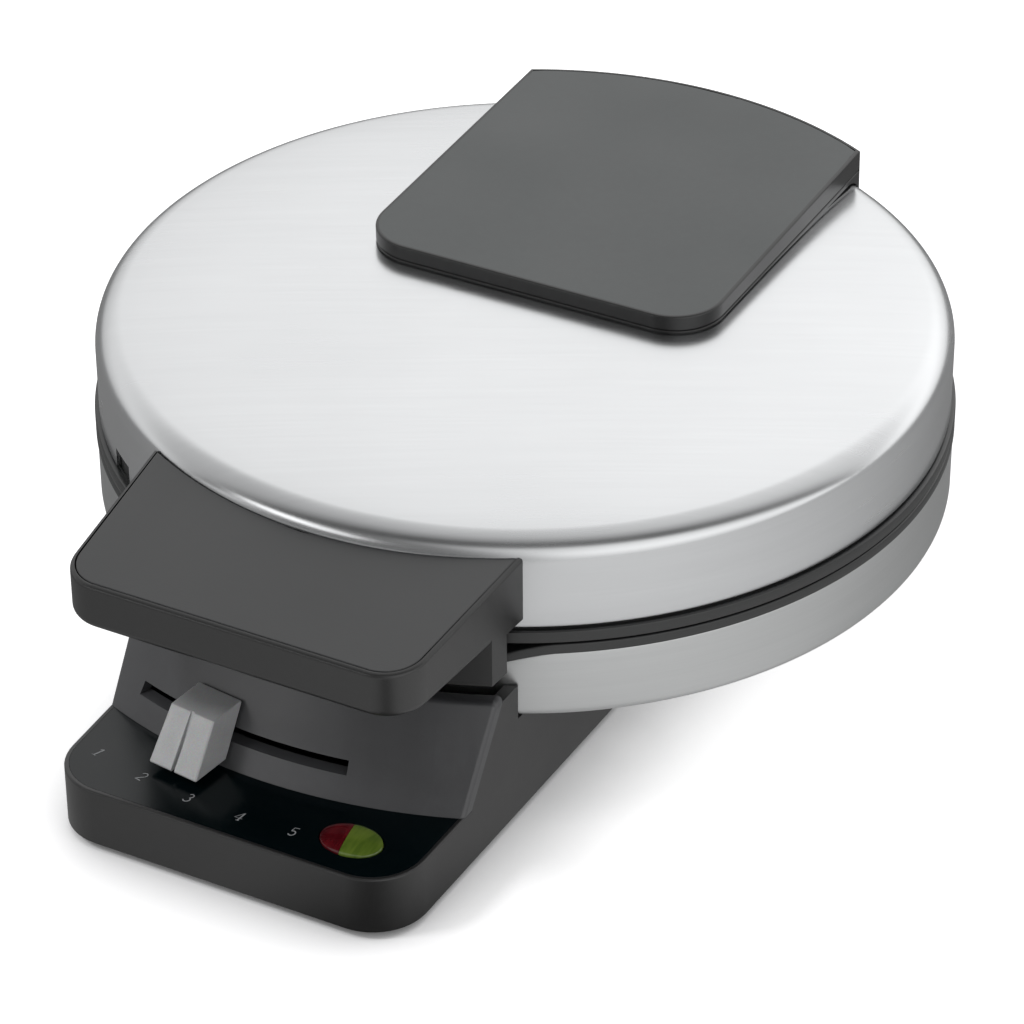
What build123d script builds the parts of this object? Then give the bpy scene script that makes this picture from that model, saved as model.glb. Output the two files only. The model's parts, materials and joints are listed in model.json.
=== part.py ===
from build123d import *
import math
import os

# Round waffle maker: a hinged lid over a fixed lower half on a narrow base.
# All sizes are millimetres. The origin is on the table under the middle of
# the object, +Y runs from the handle to the hinge and +Z is up.

# Round cooking body
lid_radius = 94.8
trim_proud = 1.0
shell_step = 0.3
sheet = 0.8
lower_shell_height = 16.4
lower_ring_height = 2.4
parting_gap = 0.3
upper_ring_height = 3.4
shadow_gap = 0.5
lid_height = 21.5
lid_edge_radius = 6.4
shell_edge_radius = 1.0

# Cooking plates
flange_inset = 5.3
flange_width = 9.5
flange_thickness = 3.0
bowl_draft = 2.5
bowl_depth = 6.5
plate_wall = 2.0
stud_size = 8.6
stud_pitch = 13.0
stud_height = 4.0
stud_taper = 14.0
stud_margin = 1.0
divider_width = 2.6
divider_height = 5.4
boss_radius = 4.0
boss_inset = 8.0
boss_gap = 3.5
heater_circle = 56.0
heater_radius = 2.8
heater_arc = 305.0
reflector_sheet = 0.5
reflector_lift = 0.7
reflector_inset = 1.5
spacer_circle = 60.0
fuse_length = 14.0
fuse_radius = 2.0
fuse_distance = 36.0

# Front dip in the lower rim
dip_shoulder = 51.0
dip_floor = 28.0
dip_depth = 5.0

# Steam notch in the lid's lower edge
notch_angle = -38.5
notch_width = 8.2
notch_height = 4.9

# Base
foot_overhang = 41.2
foot_height = 13.6
foot_half_width = 42.2
foot_flare = 1.4
flare_end = 45.0
foot_corner = 12.3
rear_corner = 14.0
foot_lift = 2.0
body_clearance = 10.8
neck_rise = 8.6
wall = 2.6
top_wall = 2.4
edge_round = 0.8

# Control panel: part of a cone round the body's axis
panel_setback = 19.6
panel_lean = 31.8
panel_height = 20.4
panel_thickness = 3.0
panel_lip = 1.6
panel_edge = 1.2
slot_height = 2.7
slot_rise = 4.8
slot_from = -18.3
slot_to = 8.8

# Legend plate and indicator
legend_rim = 1.0
legend_thickness = 1.0
lens_half_width = 7.0
lens_half_depth = 5.1
lens_inset = 16.3
lens_setback = 10.8
lens_dome = 0.9
lens_flange = 0.8
lens_flange_height = 1.4
lens_gap = 0.2
lamp_radius = 2.2
lamp_height = 5.5
lamp_gap = 0.7
holder_floor = 1.0

# Browning control: the knob's angle is measured from straight ahead
knob_angle = -7.9
knob_gap = 0.5
knob_lift = 1.8
knob_height = 11.2
knob_bottom_depth = 10.4
knob_top_depth = 9.6
knob_bottom_width = 12.6
knob_top_width = 11.5
knob_groove = 0.9
knob_round = 0.4
arm_width = 8.0
arm_thickness = 1.8
tab_width = 6.0
tab_depth = 4.0
hub_radius = 7.0
hub_height = 4.0
shaft_radius = 3.0
clip_thickness = 1.2
clip_depth = 0.6
clip_width = 2.0
shaft_end = 1.0

# Thermostat under the lower plate
well_radius = 22.0
well_depth = 2.0
thermostat_radius = 12.0
thermostat_height = 9.6
shaft_hole = 4.2

# Handle
handle_overhang = 33.5
handle_half_width = 40.6
handle_flare = 4.4
handle_corner = 9.3
handle_thickness = 10.8
handle_slope = 3.05
handle_front_rise = 13.1
handle_screw_rise = 8.6
handle_screw_angle = 11.0
handle_boss_length = 14.0
handle_wall = 2.4
handle_round = 2.2
rim = 0.9
cap_gap = 0.3
cap_thickness = 2.0
skirt_reach = 9.3
skirt_thickness = 4.9
skirt_drop = 1.4

# Hinge cover on the lid
cover_half_width = 42.7
cover_front = 0.3
cover_corner = 11.8
cover_inset = 0.5
cover_height = 4.5
cover_slope = 1.26
cover_wall = 2.2
cover_groove = 0.5
cover_groove_rise = 0.9
cap_post_x = 26.0
cap_post_front = 14.0
cap_post_rear = 74.0

# Hinge
pin_radius = 2.0
pin_offset = 5.2
ear_radius = 4.8
ear_inner = 22.0
ear_width = 8.0
knuckle_gap = 0.4
arm_plate_thickness = 3.5
arm_plate_step = 2.0
hinge_screw_rise = 9.1
hinge_screw_angle = 8.0

# Fasteners, feet and inlet
screw_radius = 1.5
head_radius = 3.0
head_height = 2.0
screw_clearance = 0.2
post_radius = 4.0
rubber_radius = 7.0
rubber_stem = 2.5
rubber_barb = 1.0
rubber_barb_height = 1.2
rubber_gap = 0.2
rubber_front_inset = 24.0
rubber_rear_inset = 13.8
plate_thread = 5.0
cover_thread = 6.0
handle_thread = 10.0
bracket_thread = 7.0
deck_screw_inset = 12.2
deck_screw_y = 45.0
front_screw_x = 12.0
front_screw_inset = 14.0
rear_screw_side = 9.2
rear_screw_inset = 27.8
cover_plate = 2.0
cover_recess = 0.6
vent_length = 18.0
vent_width = 3.2
vent_columns = 2
vent_rows = 6
vent_spacing = 24.0
vent_pitch = 9.0
inlet_radius = 3.6
inlet_flange = 6.5
inlet_flange_height = 1.5
inlet_x = 22.0
inlet_height = 15.0
terminal_length = 30.0
terminal_depth = 12.0
terminal_height = 10.0
terminal_inset = 23.8
terminal_ways = 3
terminal_pitch = 9.0
terminal_bore = 2.0

# Fits
slip = 0.05
free = 0.3

# Levels above the table
foot_top = foot_lift + foot_height
shell_floor = foot_top + body_clearance
lower_rim = shell_floor + lower_shell_height
lower_ring_top = lower_rim + lower_ring_height
parting = lower_ring_top + parting_gap / 2
upper_ring_bottom = lower_ring_top + parting_gap
lid_bottom = upper_ring_bottom + upper_ring_height
lid_top = lid_bottom + lid_height
neck_top = shell_floor + neck_rise
plate_back = lower_ring_top - bowl_depth - plate_wall
well_floor = shell_floor - well_depth
handle_front_height = lid_bottom + handle_front_rise
handle_bottom = handle_front_height - handle_thickness
handle_screw_height = lid_bottom + handle_screw_rise
hinge_screw_height = lid_bottom + hinge_screw_rise
skirt_foot = lower_rim - skirt_drop
cover_bottom = foot_lift + cover_recess
cover_top = cover_bottom + cover_plate

# Radii that follow from the lid
flange_radius = lid_radius - flange_inset
bowl_radius = flange_radius - flange_width
boss_circle = bowl_radius - boss_inset
ring_radius = lid_radius + trim_proud
foot_reach = lid_radius + foot_overhang
handle_reach = lid_radius + handle_overhang
lower_shell_radius = ring_radius - shell_step
ring_bore = flange_radius + free
spigot_radius = lid_radius - sheet - screw_clearance
reflector_radius = flange_radius - reflector_inset
panel_radius = foot_reach - panel_setback
lens_reach = foot_reach - lens_setback
lens_x = foot_half_width - lens_inset
skirt_radius = ring_radius + skirt_reach
cover_radius = lid_radius - cover_inset

# The hinge pin and the rearmost face
pin_reach = ring_radius + pin_offset
hinge_reach = pin_reach + ear_radius
disc_y = (foot_reach - hinge_reach) / 2

disc_axis = Axis((0, disc_y, 0), (0, 0, 1))
profile_plane = Plane(origin=(0, disc_y, 0), x_dir=(1, 0, 0), z_dir=(0, -1, 0))
side_plane = Plane(origin=(0, disc_y, 0), x_dir=(0, 1, 0), z_dir=(1, 0, 0))


def level(height):
    """Horizontal plane at one height, centred on the cooking body."""
    return Plane((0, disc_y, height))


def spoke(angle, radius, height):
    """Plane that faces outward from the body's axis; angle 0 is straight ahead."""
    turn = math.radians(angle)
    outward = (math.sin(turn), -math.cos(turn), 0)
    origin = (radius * outward[0], disc_y + radius * outward[1], height)
    return Plane(origin=origin, x_dir=(-outward[1], outward[0], 0), z_dir=outward)


def blade(angle):
    """Upright plane through the body's axis: x runs outward, y runs up."""
    turn = math.radians(angle)
    outward = (math.sin(turn), -math.cos(turn), 0)
    return Plane(origin=(0, disc_y, 0), x_dir=outward, z_dir=(outward[1], -outward[0], 0))


def circle_edges(part, radius, height):
    """Level round edges of a part at one radius and height."""
    def matches(edge):
        return abs(edge.radius - radius) < 0.01 and abs(edge.center().Z - height) < 0.01
    return part.edges().filter_by(GeomType.CIRCLE).filter_by(matches)


def panel_face(height):
    """Radius of the control panel's front face at one height."""
    return panel_radius - (height - foot_top) * math.tan(math.radians(panel_lean))


def in_front_of_panel(edge):
    """Whether the middle of an edge lies outside the control panel's foot."""
    middle = edge.center()
    return math.hypot(middle.X, middle.Y - disc_y) > panel_radius


def in_front_of_skirt(edge):
    """Whether the middle of an edge lies outside the handle's skirt."""
    middle = edge.center()
    return math.hypot(middle.X, middle.Y - disc_y) > skirt_radius + slip


def panel_side_edge(edge):
    """Whether an edge of the control panel runs up the side of its front face."""
    middle = edge.center()
    reach = math.hypot(middle.X, middle.Y - disc_y)
    return abs(reach - panel_face(middle.Z)) < slip and abs(middle.X) > foot_half_width / 2


def foot_width(reach):
    """Half width of the base at a distance in front of the body's axis."""
    return foot_half_width + (foot_reach - reach) * math.tan(math.radians(foot_flare))


def foot_plan(inset=0.0):
    """Outline of the base seen from above, moved inward by inset."""
    wide = foot_width(flare_end)
    with BuildSketch() as plan:
        with BuildLine():
            Polyline(
                (-foot_half_width, -foot_reach),
                (foot_half_width, -foot_reach),
                (wide, -flare_end),
                (wide, hinge_reach),
                (-wide, hinge_reach),
                (-wide, -flare_end),
                close=True,
            )
        make_face()
        fillet(plan.vertices().group_by(Axis.Y)[0], radius=foot_corner)
        fillet(plan.vertices().group_by(Axis.Y)[-1], radius=rear_corner)
        if inset:
            offset(amount=-inset)
    return plan.sketch


def legend_plan(inset):
    """Outline of the legend plate: the foot's top in front of the control panel."""
    with BuildSketch() as plan:
        add(foot_plan(legend_rim + inset))
        Circle(panel_radius + inset, mode=Mode.SUBTRACT)
        with Locations((0, hinge_reach)):
            Rectangle(4 * foot_half_width, 2 * hinge_reach, mode=Mode.SUBTRACT)
    return plan.sketch


def handle_plan(inset=0.0):
    """Outline of the handle seen from above, reaching into the lid."""
    spread = (handle_reach - lid_radius / 2) * math.tan(math.radians(handle_flare))
    with BuildSketch() as plan:
        with BuildLine():
            Polyline(
                (-handle_half_width, -handle_reach),
                (handle_half_width, -handle_reach),
                (handle_half_width + spread, -lid_radius / 2),
                (-handle_half_width - spread, -lid_radius / 2),
                close=True,
            )
        make_face()
        fillet(plan.vertices().group_by(Axis.Y)[0], radius=handle_corner)
        if inset:
            offset(amount=-inset)
    return plan.sketch


def cover_plan(inset=0.0):
    """Outline of the hinge cover: square in front, round at the back."""
    with BuildSketch() as plan:
        with Locations((0, cover_front + cover_radius / 2)):
            Rectangle(2 * cover_half_width, cover_radius)
        fillet(plan.vertices().group_by(Axis.Y)[0], radius=cover_corner)
        Circle(cover_radius, mode=Mode.INTERSECT)
        if inset:
            offset(amount=-inset)
    return plan.sketch


def dip_band(bottom, top):
    """Face between two heights that both follow the front dip."""
    with BuildSketch() as face:
        with BuildLine():
            for height in (bottom, top):
                low = height - dip_depth
                Spline((-dip_shoulder, height), (-dip_floor, low), tangents=[(1, 0), (1, 0)])
                Line((-dip_floor, low), (dip_floor, low))
                Spline((dip_floor, low), (dip_shoulder, height), tangents=[(1, 0), (1, 0)])
            Line((-dip_shoulder, bottom), (-dip_shoulder, top))
            Line((dip_shoulder, bottom), (dip_shoulder, top))
        make_face()
    return face.sketch


def divider_cross():
    """Cross that divides the waffle into quarters; its ends run into the bowl's wall."""
    span = 2 * (bowl_radius + bowl_draft)
    with BuildSketch() as plan:
        Rectangle(divider_width, span)
        Rectangle(span, divider_width)
        Circle(span / 2, mode=Mode.INTERSECT)
    return plan.sketch


def stud_places():
    """Centres of the square studs that lie wholly inside the bowl."""
    rows = int(bowl_radius / stud_pitch) + 1
    first = (divider_width + stud_pitch) / 2 + stud_margin
    steps = [first + stud_pitch * row for row in range(rows)]
    reach = bowl_radius - stud_margin
    return [
        (sx * x, sy * y)
        for x in steps
        for y in steps
        for sx in (-1, 1)
        for sy in (-1, 1)
        if math.hypot(x + stud_size / 2, y + stud_size / 2) < reach
    ]


boss_x = foot_width(flare_end) + head_radius + boss_gap
boss_y = math.sqrt(boss_circle**2 - boss_x**2)
boss_points = [(sx * boss_x, sy * boss_y) for sx in (-1, 1) for sy in (-1, 1)]
deck_screw_x = foot_half_width - deck_screw_inset
deck_screw_points = [
    (sx * deck_screw_x, sy * deck_screw_y) for sx in (-1, 1) for sy in (-1, 1)
]
bracket_screw_x = ear_inner + ear_width / 2
bracket_y = pin_reach - wall / 2
bracket_screw_points = [(side * bracket_screw_x, bracket_y) for side in (-1, 1)]
front_screw_points = [
    (side * front_screw_x, front_screw_inset - foot_reach) for side in (-1, 1)
]
rear_screw_points = [
    (side * (foot_half_width - rear_screw_side), hinge_reach - rear_screw_inset) for side in (-1, 1)
]
cover_screw_points = front_screw_points + rear_screw_points
rubber_x = foot_width(foot_reach - rubber_front_inset) - wall - rubber_radius - rubber_gap
rubber_points = [
    (side * rubber_x, y)
    for side in (-1, 1)
    for y in (rubber_front_inset - foot_reach, hinge_reach - rubber_rear_inset)
]
spacer_points = [(spacer_circle, 0), (-spacer_circle, 0), (0, -spacer_circle)]
cap_post_points = [
    (side * cap_post_x, y) for side in (-1, 1) for y in (cap_post_front, cap_post_rear)
]
handle_screw_angles = (-handle_screw_angle, handle_screw_angle)
hinge_screw_angles = (180 - hinge_screw_angle, 180 + hinge_screw_angle)
terminal_y = hinge_reach - terminal_inset

os.makedirs("parts", exist_ok=True)

handle_top = Plane(
    origin=(0, disc_y, handle_front_height + handle_reach * math.tan(math.radians(handle_slope))),
    x_dir=(1, 0, 0),
    z_dir=(0, -math.sin(math.radians(handle_slope)), math.cos(math.radians(handle_slope))),
)
cover_face = Plane(
    origin=(0, disc_y, lid_top + cover_height),
    x_dir=(1, 0, 0),
    z_dir=(0, -math.sin(math.radians(cover_slope)), math.cos(math.radians(cover_slope))),
)

# Lid form: the outside of the steel lid, used by the pieces that sit on it
with BuildPart() as lid_form:
    with BuildSketch(level(lid_bottom)):
        Circle(lid_radius)
    extrude(amount=lid_height)
    fillet(circle_edges(lid_form, lid_radius, lid_top), radius=lid_edge_radius)

# Steel lid with its steam notch and screw holes
with BuildPart() as lid_shell:
    add(lid_form.part)
    offset(amount=-sheet, openings=lid_shell.faces().sort_by(Axis.Z)[0])
    with BuildSketch(spoke(notch_angle, lid_radius, lid_bottom)):
        Rectangle(notch_width, 2 * notch_height)
    extrude(amount=3 * sheet, both=True, mode=Mode.SUBTRACT)
    for angle in handle_screw_angles:
        with BuildSketch(spoke(angle, lid_radius, handle_screw_height)):
            Circle(screw_radius + screw_clearance)
        extrude(amount=3 * sheet, both=True, mode=Mode.SUBTRACT)
    for angle in hinge_screw_angles:
        with BuildSketch(spoke(angle, lid_radius, hinge_screw_height)):
            Circle(screw_radius + screw_clearance)
        extrude(amount=3 * sheet, both=True, mode=Mode.SUBTRACT)
    with BuildSketch(level(lid_top - sheet)):
        with Locations(*cap_post_points):
            Circle(screw_radius + screw_clearance)
    extrude(amount=sheet, mode=Mode.SUBTRACT)
lid_shell.part.label = "lid_shell"
export_step(lid_shell.part, "parts/lid_shell.step")

# Plastic ring under the lid, with a shadow line below the steel edge
with BuildPart() as upper_trim_ring:
    with BuildSketch(profile_plane):
        with BuildLine():
            Polyline(
                (ring_bore, upper_ring_bottom),
                (ring_radius, upper_ring_bottom),
                (ring_radius, lid_bottom - shadow_gap),
                (lid_radius - sheet + shadow_gap / 2, lid_bottom - shadow_gap),
                (lid_radius - sheet + shadow_gap / 2, lid_bottom),
                (spigot_radius, lid_bottom),
                (spigot_radius, lid_bottom + upper_ring_height),
                (spigot_radius - 2 * sheet, lid_bottom + upper_ring_height),
                (spigot_radius - 2 * sheet, lid_bottom),
                (ring_bore, lid_bottom),
                close=True,
            )
        make_face()
    revolve(axis=disc_axis)
    fillet(circle_edges(upper_trim_ring, ring_radius, upper_ring_bottom), radius=shadow_gap)
    fillet(circle_edges(upper_trim_ring, ring_radius, lid_bottom - shadow_gap), radius=shadow_gap)
upper_trim_ring.part.label = "upper_trim_ring"
export_step(upper_trim_ring.part, "parts/upper_trim_ring.step")

# Steel lower shell: a shallow pan with a central well, lower at the front dip
with BuildPart() as lower_shell:
    with BuildSketch(level(shell_floor)):
        Circle(lower_shell_radius)
    extrude(amount=lower_shell_height)
    fillet(circle_edges(lower_shell, lower_shell_radius, shell_floor), radius=shell_edge_radius)
    with BuildSketch(level(well_floor)):
        Circle(well_radius + sheet)
    extrude(amount=well_depth)
    offset(amount=-sheet, openings=lower_shell.faces().sort_by(Axis.Z)[-1])
    with BuildSketch(profile_plane):
        add(dip_band(lower_rim, lower_rim + lower_shell_height))
    extrude(amount=ring_radius, mode=Mode.SUBTRACT)
    with BuildSketch(level(well_floor)):
        Circle(shaft_hole)
        with Locations(*boss_points, *deck_screw_points):
            Circle(screw_radius + screw_clearance)
    extrude(amount=well_depth + sheet, mode=Mode.SUBTRACT)
lower_shell.part.label = "lower_shell"
export_step(lower_shell.part, "parts/lower_shell.step")

# The lower ring's stretch that follows the dip
with BuildPart() as ring_dip:
    with BuildSketch(profile_plane):
        add(dip_band(lower_rim, lower_ring_top))
    extrude(amount=ring_radius)
    with BuildSketch(level(lower_rim - dip_depth)):
        Circle(ring_radius)
        Circle(ring_bore, mode=Mode.SUBTRACT)
    extrude(amount=dip_depth + lower_ring_height, mode=Mode.INTERSECT)

# Plastic ring on the lower shell
lower_spigot = lower_shell_radius - sheet - screw_clearance
with BuildPart() as lower_trim_ring:
    with BuildSketch(profile_plane):
        with BuildLine():
            Polyline(
                (ring_bore, lower_rim),
                (lower_spigot - 2 * sheet, lower_rim),
                (lower_spigot - 2 * sheet, lower_rim - upper_ring_height),
                (lower_spigot, lower_rim - upper_ring_height),
                (lower_spigot, lower_rim),
                (ring_radius, lower_rim),
                (ring_radius, lower_ring_top),
                (ring_bore, lower_ring_top),
                close=True,
            )
        make_face()
    revolve(axis=disc_axis)
    with BuildSketch(profile_plane):
        add(dip_band(lower_ring_top, lower_ring_top + lower_shell_height))
    extrude(amount=2 * ring_radius, mode=Mode.SUBTRACT)
    add(ring_dip.part)
lower_trim_ring.part.label = "lower_trim_ring"
export_step(lower_trim_ring.part, "parts/lower_trim_ring.step")

# Lower cooking plate: bowl, square studs, the foot of the cross between the quarters, bosses
bowl_floor = lower_ring_top - bowl_depth
flange_bottom = lower_ring_top - flange_thickness
frame_bore = bowl_radius + bowl_draft * (flange_bottom - bowl_floor) / bowl_depth
with BuildPart() as lower_plate:
    with BuildSketch(profile_plane):
        with BuildLine():
            Polyline(
                (0, plate_back),
                (bowl_radius + plate_wall, plate_back),
                (bowl_radius + bowl_draft + plate_wall, flange_bottom),
                (frame_bore, flange_bottom),
                (bowl_radius, bowl_floor),
                (0, bowl_floor),
                close=True,
            )
        make_face()
    revolve(axis=disc_axis)
    with BuildSketch(level(bowl_floor)):
        with Locations(*stud_places()):
            Rectangle(stud_size, stud_size)
    extrude(amount=stud_height, taper=stud_taper)
    with BuildSketch(level(bowl_floor)):
        add(divider_cross())
    extrude(amount=flange_bottom - bowl_floor)
    with BuildSketch(level(shell_floor + sheet)):
        with Locations(*boss_points):
            Circle(boss_radius)
    extrude(amount=plate_back - shell_floor - sheet)
    with BuildSketch(level(shell_floor + sheet)):
        with Locations(*boss_points):
            Circle(screw_radius)
    extrude(amount=plate_back - shell_floor - sheet, mode=Mode.SUBTRACT)
lower_plate.part.label = "lower_plate"
export_step(lower_plate.part, "parts/lower_plate.step")

# Frame of the lower plate: its flange, and the top of the cross between the quarters
with BuildPart() as lower_plate_frame:
    with BuildSketch(profile_plane):
        with BuildLine():
            Polyline(
                (frame_bore, flange_bottom),
                (flange_radius, flange_bottom),
                (flange_radius, lower_ring_top),
                (bowl_radius + bowl_draft, lower_ring_top),
                close=True,
            )
        make_face()
    revolve(axis=disc_axis)
    with BuildSketch(level(flange_bottom)):
        add(divider_cross())
    extrude(amount=bowl_floor + divider_height - flange_bottom)
lower_plate_frame.part.label = "lower_plate_frame"
export_step(lower_plate_frame.part, "parts/lower_plate_frame.step")

# The upper plate and its frame mirror the lower ones across the parting gap
with BuildPart() as upper_plate:
    mirror(lower_plate.part, about=level(parting))
upper_plate.part.label = "upper_plate"
export_step(upper_plate.part, "parts/upper_plate.step")

with BuildPart() as upper_plate_frame:
    mirror(lower_plate_frame.part, about=level(parting))
upper_plate_frame.part.label = "upper_plate_frame"
export_step(upper_plate_frame.part, "parts/upper_plate_frame.step")

# Tubular heater under the lower plate, with a cold pin at each end
heater_height = plate_back - heater_radius
heater_start = 180 + (360 - heater_arc) / 2
with BuildPart() as lower_heater:
    with BuildSketch(blade(heater_start)):
        with Locations((heater_circle, heater_height)):
            Circle(heater_radius)
    revolve(axis=disc_axis, revolution_arc=heater_arc)
    with BuildSketch(blade(heater_start)):
        with Locations((heater_circle, heater_height)):
            Circle(heater_radius / 2)
    extrude(amount=4 * heater_radius)
    with BuildSketch(blade(heater_start + heater_arc)):
        with Locations((heater_circle, heater_height)):
            Circle(heater_radius / 2)
    extrude(amount=-4 * heater_radius)
lower_heater.part.label = "lower_heater"
export_step(lower_heater.part, "parts/lower_heater.step")

with BuildPart() as upper_heater:
    mirror(lower_heater.part, about=level(parting))
upper_heater.part.label = "upper_heater"
export_step(upper_heater.part, "parts/upper_heater.step")

# Sheet reflector dish behind the lower plate
reflector_floor = shell_floor + sheet + reflector_lift
with BuildPart() as lower_reflector:
    with BuildSketch(level(reflector_floor)):
        Circle(reflector_radius)
    extrude(amount=flange_bottom - reflector_floor)
    offset(amount=-reflector_sheet, openings=lower_reflector.faces().sort_by(Axis.Z)[-1])
    with BuildSketch(level(reflector_floor)):
        Circle(thermostat_radius + 4 * free)
        with Locations(*boss_points):
            Circle(boss_radius + free)
    extrude(amount=reflector_sheet, mode=Mode.SUBTRACT)
lower_reflector.part.label = "lower_reflector"
export_step(lower_reflector.part, "parts/lower_reflector.step")

with BuildPart() as upper_reflector:
    mirror(lower_reflector.part, about=level(parting))
upper_reflector.part.label = "upper_reflector"
export_step(upper_reflector.part, "parts/upper_reflector.step")

# Screws that hold the lower plate, up through the shell's floor
with BuildPart() as lower_plate_screws:
    with BuildSketch(level(shell_floor - head_height)):
        with Locations(*boss_points):
            Circle(head_radius)
    extrude(amount=head_height)
    with BuildSketch(level(shell_floor)):
        with Locations(*boss_points):
            Circle(screw_radius)
    extrude(amount=sheet + plate_thread)
lower_plate_screws.part.label = "lower_plate_screws"
export_step(lower_plate_screws.part, "parts/lower_plate_screws.step")

# Screws that hold the upper plate, down through the reflector
upper_boss_top = 2 * parting - shell_floor - sheet
with BuildPart() as upper_plate_screws:
    with BuildSketch(level(upper_boss_top)):
        with Locations(*boss_points):
            Circle(boss_radius + 2 * free)
    extrude(amount=head_height)
    with BuildSketch(level(upper_boss_top - plate_thread)):
        with Locations(*boss_points):
            Circle(screw_radius)
    extrude(amount=plate_thread)
upper_plate_screws.part.label = "upper_plate_screws"
export_step(upper_plate_screws.part, "parts/upper_plate_screws.step")

# Spacers between the upper reflector and the top of the lid
upper_reflector_top = 2 * parting - reflector_floor
with BuildPart() as lid_spacers:
    with BuildSketch(level(upper_reflector_top)):
        with Locations(*spacer_points):
            Circle(post_radius)
            Circle(screw_radius, mode=Mode.SUBTRACT)
    extrude(amount=lid_top - sheet - upper_reflector_top)
lid_spacers.part.label = "lid_spacers"
export_step(lid_spacers.part, "parts/lid_spacers.step")

# Thermostat against the underside of the lower plate, with a bore for its shaft
thermostat_bottom = plate_back - thermostat_height
with BuildPart() as thermostat:
    with BuildSketch(level(thermostat_bottom)):
        Circle(thermostat_radius)
    extrude(amount=thermostat_height)
    with BuildSketch(level(thermostat_bottom)):
        Circle(shaft_radius + slip)
    extrude(amount=2 * shaft_radius + slip, mode=Mode.SUBTRACT)
thermostat.part.label = "thermostat"
export_step(thermostat.part, "parts/thermostat.step")

# Thermal fuse in its sleeve on the reflector
fuse_start = (-fuse_length / 2, disc_y + fuse_distance, reflector_floor + reflector_sheet + fuse_radius)
with BuildPart() as thermal_fuse:
    with BuildSketch(Plane(origin=fuse_start, z_dir=(1, 0, 0))):
        Circle(fuse_radius)
    extrude(amount=fuse_length)
    fillet(thermal_fuse.edges().filter_by(GeomType.CIRCLE), radius=fuse_radius / 3)
thermal_fuse.part.label = "thermal_fuse"
export_step(thermal_fuse.part, "parts/thermal_fuse.step")

# Base housing: the part of the neck that must be open inside
with BuildPart() as neck_space:
    ledge = panel_radius - panel_thickness - wall
    with BuildSketch(profile_plane):
        with BuildLine():
            Polyline(
                (0, foot_top - top_wall),
                (-ledge, foot_top - top_wall),
                (-ledge, foot_top),
                (panel_thickness - panel_radius, foot_top),
                (panel_thickness - panel_face(shell_floor - top_wall), shell_floor - top_wall),
                (0, shell_floor - top_wall),
                close=True,
            )
        make_face()
    revolve(axis=disc_axis, revolution_arc=180)
    with BuildSketch(level(foot_top - top_wall)):
        with Locations((0, hinge_reach / 2)):
            Rectangle(4 * foot_half_width, hinge_reach)
    extrude(amount=shell_floor - foot_top)
    with BuildSketch(level(foot_top - top_wall)):
        add(foot_plan(wall))
    extrude(amount=shell_floor, mode=Mode.INTERSECT)

# Base housing: foot and neck in one moulding
with BuildPart() as base_housing:
    with BuildSketch(level(foot_lift)):
        add(foot_plan())
    extrude(amount=neck_top - foot_lift)
    with BuildSketch(profile_plane):
        with BuildLine():
            Polyline(
                (panel_thickness - panel_radius, foot_top),
                (-2 * foot_reach, foot_top),
                (-2 * foot_reach, neck_top),
                (panel_thickness - panel_face(neck_top), neck_top),
                close=True,
            )
        make_face()
    revolve(axis=disc_axis, revolution_arc=180, mode=Mode.SUBTRACT)
    foot_edges = base_housing.edges().filter_by_position(Axis.Z, foot_top, foot_top)
    fillet(foot_edges.filter_by(in_front_of_panel), radius=legend_rim / 2)
    with BuildSketch(level(shell_floor)):
        Circle(lower_shell_radius + free)
        add(foot_plan(wall))
    extrude(amount=neck_rise, mode=Mode.SUBTRACT)
    with BuildSketch(level(foot_lift)):
        add(foot_plan(wall))
    extrude(amount=foot_height - top_wall, mode=Mode.SUBTRACT)
    add(neck_space.part, mode=Mode.SUBTRACT)
    # openings in the deck, the foot and the rear wall
    with BuildSketch(level(shell_floor - top_wall)):
        Circle(well_radius + sheet + free)
        with Locations(*deck_screw_points, *bracket_screw_points):
            Circle(screw_radius + screw_clearance)
    extrude(amount=top_wall, mode=Mode.SUBTRACT)
    with BuildSketch(level(foot_top - legend_thickness)):
        add(legend_plan(0.0))
    extrude(amount=legend_thickness, mode=Mode.SUBTRACT)
    with BuildSketch(level(foot_top - top_wall)):
        with Locations((lens_x, -lens_reach)):
            Ellipse(lens_half_width + lens_gap, lens_half_depth + lens_gap)
    extrude(amount=top_wall, mode=Mode.SUBTRACT)
    with BuildSketch(Plane(origin=(inlet_x, disc_y + hinge_reach, inlet_height), z_dir=(0, 1, 0))):
        Circle(inlet_radius + wall / 2)
    extrude(amount=-wall, mode=Mode.SUBTRACT)
    # posts for the bottom cover's screws
    with BuildSketch(level(cover_top)):
        with Locations(*front_screw_points):
            Circle(post_radius)
            Circle(screw_radius, mode=Mode.SUBTRACT)
    extrude(amount=foot_top - top_wall - cover_top)
    with BuildSketch(level(cover_top)):
        with Locations(*rear_screw_points):
            Circle(post_radius)
            Circle(screw_radius, mode=Mode.SUBTRACT)
    extrude(amount=shell_floor - top_wall - cover_top)
base_housing.part.label = "base_housing"
export_step(base_housing.part, "parts/base_housing.step")

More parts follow.
